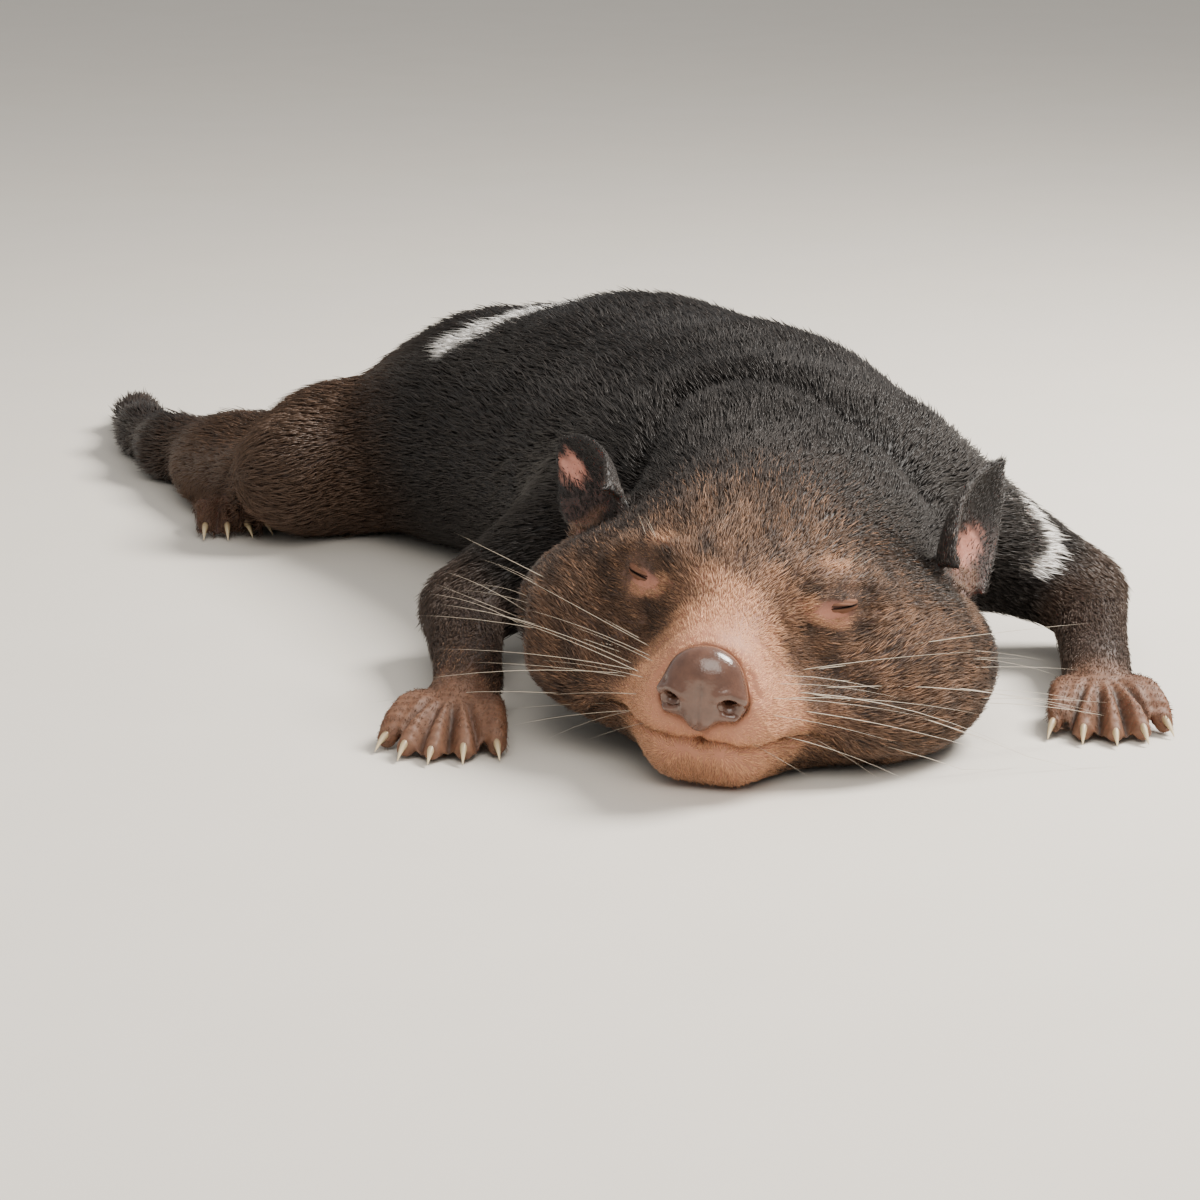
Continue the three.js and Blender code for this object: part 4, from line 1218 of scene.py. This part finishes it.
class DevilFaceSettings(bpy.types.PropertyGroup):
    """Sizes and colours of the nose, lids and claws."""

    nose_grid: bpy.props.FloatProperty(
        name="Nose grid", description="Size of the grid the nose is closed on",
        default=0.45 * MM, unit="LENGTH",
    )
    slit: bpy.props.FloatProperty(
        name="Slit", description="Height of the slit between the lids",
        default=0.3 * MM, unit="LENGTH",
    )
    nose: tint("Nose", "Skin of the nose", "#6f4d3e")
    nose_dark: tint("Dark nose", "Furrows of the nose", "#3b251c")
    lid: tint("Lid", "Skin of the lids", "#7c5845")
    lid_deep: tint("Deep lid", "Folds of the lids", "#5c3f32")
    rim: tint("Rim", "Edge of the lids", "#1d1310")
    horn: tint("Horn", "Claws at their root", "#8a7053")
    horn_tip: tint("Horn tip", "Claws at their tip", "#d8c59f")


def nose_material():
    """Moist dark skin with a fine cobble, as on a real nose pad."""
    s = bpy.context.scene.devil_face
    material, tree, shader = new_material(
        "nose_skin", Roughness=0.26, Coat_Weight=0.45, Coat_Roughness=0.18
    )
    place = add_node(tree, "ShaderNodeTexCoord")
    cobble = add_node(
        tree, "ShaderNodeTexVoronoi",
        values={"Scale": 1 / (0.9 * MM)}, links={"Vector": place.outputs["Object"]},
    )
    colour = mixed(tree, noise(tree, 5), s.nose, s.nose_dark)
    tree.links.new(colour, shader.inputs["Base Color"])
    bumped(tree, shader, cobble.outputs["Distance"], 0.35, 0.2).invert = True
    return material


class DEVIL_OT_nose(bpy.types.Operator):
    """The nose pad with its nostrils and groove"""

    bl_idname = "devil.nose"
    bl_label = "Nose"

    def execute(self, context):
        settings = context.scene.devil_face
        copy = mesh_from(closed_copy("nose_pad", NOSE_GROW * MM), "nose")
        nose = remeshed(new_object("nose", copy), settings.nose_grid)
        mesh = nose.data
        spots = eased(spots_of(mesh), edges_of(mesh), *NOSE_EASE)
        set_spots(mesh, spots)
        spots = sculpt(spots, normals_of(mesh), HEAD, NOSE_FORMS)
        set_spots(mesh, eased(spots, edges_of(mesh), *NOSE_EASE_LAST))
        shade_smooth(mesh)
        mesh.name = "nose"
        mesh.materials.append(nose_material())
        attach(nose, "root")
        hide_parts("nose_pad")
        return {"FINISHED"}


def lid_material():
    """Thin bare skin, pink-brown, with a dark edge along the slit."""
    s = bpy.context.scene.devil_face
    material, tree, shader = new_material("eyelid_skin", Roughness=0.72, Specular_IOR_Level=0.12)
    edge = attribute(tree, "rim").outputs["Fac"]
    skin = mixed(tree, noise(tree, 1.6), s.lid, s.lid_deep)
    tree.links.new(mixed(tree, edge, skin, s.rim), shader.inputs["Base Color"])
    bumped(tree, shader, noise(tree, 0.5, 4), 0.5, 0.15)
    return material


def half_lid(way, half):
    """Half a ball of radius one, up or down, cut off at half the slit and rounded there."""
    ball = bmesh.new()
    turns, rounds = LID_TURNS
    bmesh.ops.create_uvsphere(ball, u_segments=turns, v_segments=rounds, radius=1)
    bmesh.ops.bisect_plane(
        ball, geom=[*ball.verts, *ball.edges, *ball.faces],
        plane_co=(0, 0, way * half), plane_no=(0, 0, -way), clear_outer=True,
    )
    edge = [edge for edge in ball.edges if edge.is_boundary]
    bmesh.ops.edgeloop_fill(ball, edges=edge)
    bevel, steps = LID_ROUND
    bmesh.ops.bevel(
        ball, geom=edge, offset=bevel, segments=steps, profile=0.5,
        affect="EDGES", material=-1,
    )
    return ball


class DEVIL_OT_lids(bpy.types.Operator):
    """Closed lids with their folds"""

    bl_idname = "devil.lids"
    bl_label = "Lids"

    def execute(self, context):
        settings = context.scene.devil_face
        material = lid_material()
        half = settings.slit / MM / LID_SIZE[2] / 2
        run, deep = LID_FOLD
        for side, hand in zip(SIDES, ("left", "right")):
            boxes = [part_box(f"{hand}_{which}_eyelid") for which in ("upper", "lower")]
            low = Vector(np.min([box[0] for box in boxes], axis=0))
            high = Vector(np.max([box[1] for box in boxes], axis=0))
            place = HEAD @ Matrix.Rotation(math.radians(LID_TILT * side), 4, "Y")
            shift = Vector(mirrored(LID_SHIFT, side)) * MM
            place.translation = (low + high) / 2 + HEAD.to_3x3() @ shift
            place = np.array(place)
            for which, way in (("upper", 1), ("lower", -1)):
                lid = new_object(f"{hand}_{which}_lid", mesh_from(half_lid(way, half), "lid"))
                mesh = lid.data
                mesh.name = lid.name
                spots = spots_of(mesh)
                out = unit(spots)
                spots *= LID_SIZE
                height, bow = np.abs(spots[:, 2]), spots[:, 0] ** 2
                rim = 1 - smooth(*LID_RIM, height + LID_RIM_BOW * bow)
                # folds that follow the slit, and the slit's own droop
                rise = height + LID_BOW * bow
                fold = deep * smooth(*LID_FOLD_FROM, rise) * np.cos(2 * math.pi * rise / run)
                spots += out * fold[:, None]
                spots[:, 2] -= LID_DROOP * (1 - (spots[:, 0] / LID_SIZE[0]) ** 2)
                set_spots(mesh, spots @ place[:3, :3].T + place[:3, 3])
                write_attribute(mesh, "rim", "FLOAT", "value", rim)
                shade_smooth(mesh)
                mesh.materials.append(material)
                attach(lid, "root")
                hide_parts(f"{hand}_{which}_eyelid")
        return {"FINISHED"}


def claw_material():
    """Horn, brown at the root and pale at the worn tip, with a dull gloss."""
    s = bpy.context.scene.devil_face
    material, tree, shader = new_material("claw_horn", Roughness=0.4, Subsurface_Weight=0.06)
    along = attribute(tree, "along").outputs["Fac"]
    tree.links.new(mixed(tree, along, s.horn, s.horn_tip), shader.inputs["Base Color"])
    return material


# Claws in mm: half the width at the root, how far they sit in the toe, room at the root
# of the solid one, how much thicker than wide, how far they are raised, rings and corners
CLAW_WIDE = 1.35
CLAW_SUNK = 2.4
CLAW_ROOT = 1.6
CLAW_THICK = 1.2
CLAW_RAISED = 0.2
CLAW_CUTS = 9
CLAW_CORNERS = 14
# How much of the width goes to the tip, how late, and how late the claw bends down
CLAW_TAPER = (0.9, 1.4)
CLAW_BEND = 1.8
PAWS = {
    "left_fore": "left_forepaw", "right_fore": "right_forepaw",
    "left_hind": "left_hind_foot", "right_hind": "right_hind_foot",
}


def add_claw(horn, node, heart):
    """Adds the claw for one node, pointing away from the paw's middle. Returns its shares."""
    spots = spots_of(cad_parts[node].data)
    far = away_from(spots, heart)
    root = spots[far < far.min() + CLAW_ROOT * MM].mean(axis=0)
    tip = spots[far.argmax()]
    way = (tip - root) * (1, 1, 0)
    way /= np.linalg.norm(way)
    root = root - way * CLAW_SUNK * MM
    length, drop = (tip - root) @ way, tip[2] - root[2]
    first = len(horn.verts)
    bmesh.ops.create_cone(
        horn, cap_ends=True, segments=CLAW_CORNERS, radius1=1, radius2=1, depth=1
    )
    horn.verts.ensure_lookup_table()
    new = set(horn.verts[first:])
    sides = [
        edge for edge in horn.edges
        if new.issuperset(edge.verts) and abs(edge.verts[0].co.z - edge.verts[1].co.z) > 0.5
    ]
    bmesh.ops.subdivide_edges(horn, edges=sides, cuts=CLAW_CUTS)
    horn.verts.ensure_lookup_table()
    cross = np.array((way[1], -way[0], 0))
    shares = []
    thinner, late = CLAW_TAPER
    for corner in list(horn.verts)[first:]:
        share = corner.co.z + 0.5
        wide = CLAW_WIDE * MM * (1 - thinner * share ** late)
        spot = root + way * length * share + cross * corner.co.x * wide
        rise = corner.co.y * wide * CLAW_THICK + drop * share ** CLAW_BEND
        corner.co = Vector(spot + np.array((0, 0, rise + CLAW_RAISED * MM)))
        shares.append(share)
    return shares


class DEVIL_OT_claws(bpy.types.Operator):
    """Curved claws, one group for each foot"""

    bl_idname = "devil.claws"
    bl_label = "Claws"

    def execute(self, context):
        material = claw_material()
        for foot, paw in PAWS.items():
            nodes = [name for name in CLAWS if name.startswith(foot)]
            heart = np.array(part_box(paw)).mean(axis=0)
            horn = bmesh.new()
            shares = [share for node in nodes for share in add_claw(horn, node, heart)]
            piece = new_object(f"{foot}_claws", mesh_from(horn, f"{foot}_claws"), material)
            write_attribute(piece.data, "along", "FLOAT", "value", np.array(shares))
            shade_smooth(piece.data)
            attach(piece, "root")
            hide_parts(*nodes)
        return {"FINISHED"}


# Stage: the camera in the working frame in mm, degrees down and its lens in mm
CAMERA_AT = (-30, -1214, 364)
CAMERA_DOWN = 14
CAMERA_SENSOR = 36
CAMERA_LENS = 3965 / 1200 * CAMERA_SENSOR
CAMERA_CLIP = (0.05, 20)
FLOOR_HALF = 6
ROOM_AIR = (1, 0.99, 0.97, 1)
LAMP_COLOUR = (1, 0.96, 0.9)
LAMP_AIM = (0.03, -0.1, 0.04)
# Each lamp: name, place and size in metres, and strength as a share of the main one
LAMPS = [("key", (0.75, 0.05, 1.0), 0.5, 1), ("front", (0.1, -1.1, 1.0), 0.9, 0.32)]


class DevilStageSettings(bpy.types.PropertyGroup):
    """Floor, light and camera."""

    floor: tint("Floor", "Colour of the floor", "#d9d3ca")
    floor_worn: tint("Worn floor", "Its second colour", "#d4cec4")
    key: bpy.props.FloatProperty(
        name="Key light", description="Strength of the main light",
        default=42, unit="POWER",
    )
    fill: bpy.props.FloatProperty(
        name="Fill light", description="Strength of the light from all round", default=0.55
    )


class DEVIL_OT_stage(bpy.types.Operator):
    """A pale floor, soft light and the camera"""

    bl_idname = "devil.stage"
    bl_label = "Stage"

    def execute(self, context):
        settings = context.scene.devil_stage
        sheet = bmesh.new()
        bmesh.ops.create_grid(sheet, x_segments=2, y_segments=2, size=FLOOR_HALF)
        material, tree, shader = new_material("studio_floor", Roughness=0.8)
        tree.links.new(
            mixed(tree, noise(tree, 60), settings.floor, settings.floor_worn),
            shader.inputs["Base Color"],
        )
        new_object("floor", mesh_from(sheet, "floor"), material)
        world = bpy.data.worlds.new("soft_room")
        world.use_nodes = True
        air = world.node_tree.nodes["Background"]
        air.inputs["Color"].default_value = ROOM_AIR
        air.inputs["Strength"].default_value = settings.fill
        context.scene.world = world
        for name, place, size, share in LAMPS:
            lamp = bpy.data.lights.new(name, "AREA")
            lamp.size = size
            lamp.energy = settings.key * share
            lamp.color = LAMP_COLOUR
            holder = bpy.data.objects.new(name, lamp)
            holder.location = place
            aim = Vector(LAMP_AIM) - holder.location
            holder.rotation_euler = aim.to_track_quat("-Z", "Y").to_euler()
            context.scene.collection.objects.link(holder)
        lens = bpy.data.cameras.new("camera")
        lens.lens = CAMERA_LENS
        lens.sensor_width = CAMERA_SENSOR
        lens.clip_start, lens.clip_end = CAMERA_CLIP
        camera = bpy.data.objects.new("camera", lens)
        camera.location = WORK @ Vector(CAMERA_AT)
        camera.rotation_euler = (math.radians(90 - CAMERA_DOWN), 0, 0)
        context.scene.collection.objects.link(camera)
        context.scene.camera = camera
        return {"FINISHED"}


class DEVIL_PT_panel(bpy.types.Panel):
    """Lists the steps of the model"""

    bl_label = "Sleeping devil"
    bl_space_type = "VIEW_3D"
    bl_region_type = "UI"
    bl_category = "Devil"

    def draw(self, context):
        for step in STEPS:
            self.layout.operator(step.bl_idname)


SETTINGS = {
    "devil_skin": DevilSkinSettings,
    "devil_coat": DevilCoatSettings,
    "devil_face": DevilFaceSettings,
    "devil_stage": DevilStageSettings,
}
STEPS = [
    DEVIL_OT_skin, DEVIL_OT_coat, DEVIL_OT_whiskers, DEVIL_OT_nose, DEVIL_OT_lids,
    DEVIL_OT_claws, DEVIL_OT_stage,
]
CLASSES = [*SETTINGS.values(), *STEPS, DEVIL_PT_panel]


def register():
    """Adds the classes and the scene's settings."""
    for part in CLASSES:
        bpy.utils.register_class(part)
    for name, kind in SETTINGS.items():
        setattr(bpy.types.Scene, name, bpy.props.PointerProperty(type=kind))


def unregister():
    """Takes them away again."""
    for name in SETTINGS:
        delattr(bpy.types.Scene, name)
    for part in reversed(CLASSES):
        bpy.utils.unregister_class(part)


def main():
    """Registers the add-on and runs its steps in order."""
    register()
    for step in STEPS:
        group, name = step.bl_idname.split(".")
        getattr(getattr(bpy.ops, group), name)()


if __name__ == "__main__":
    main()
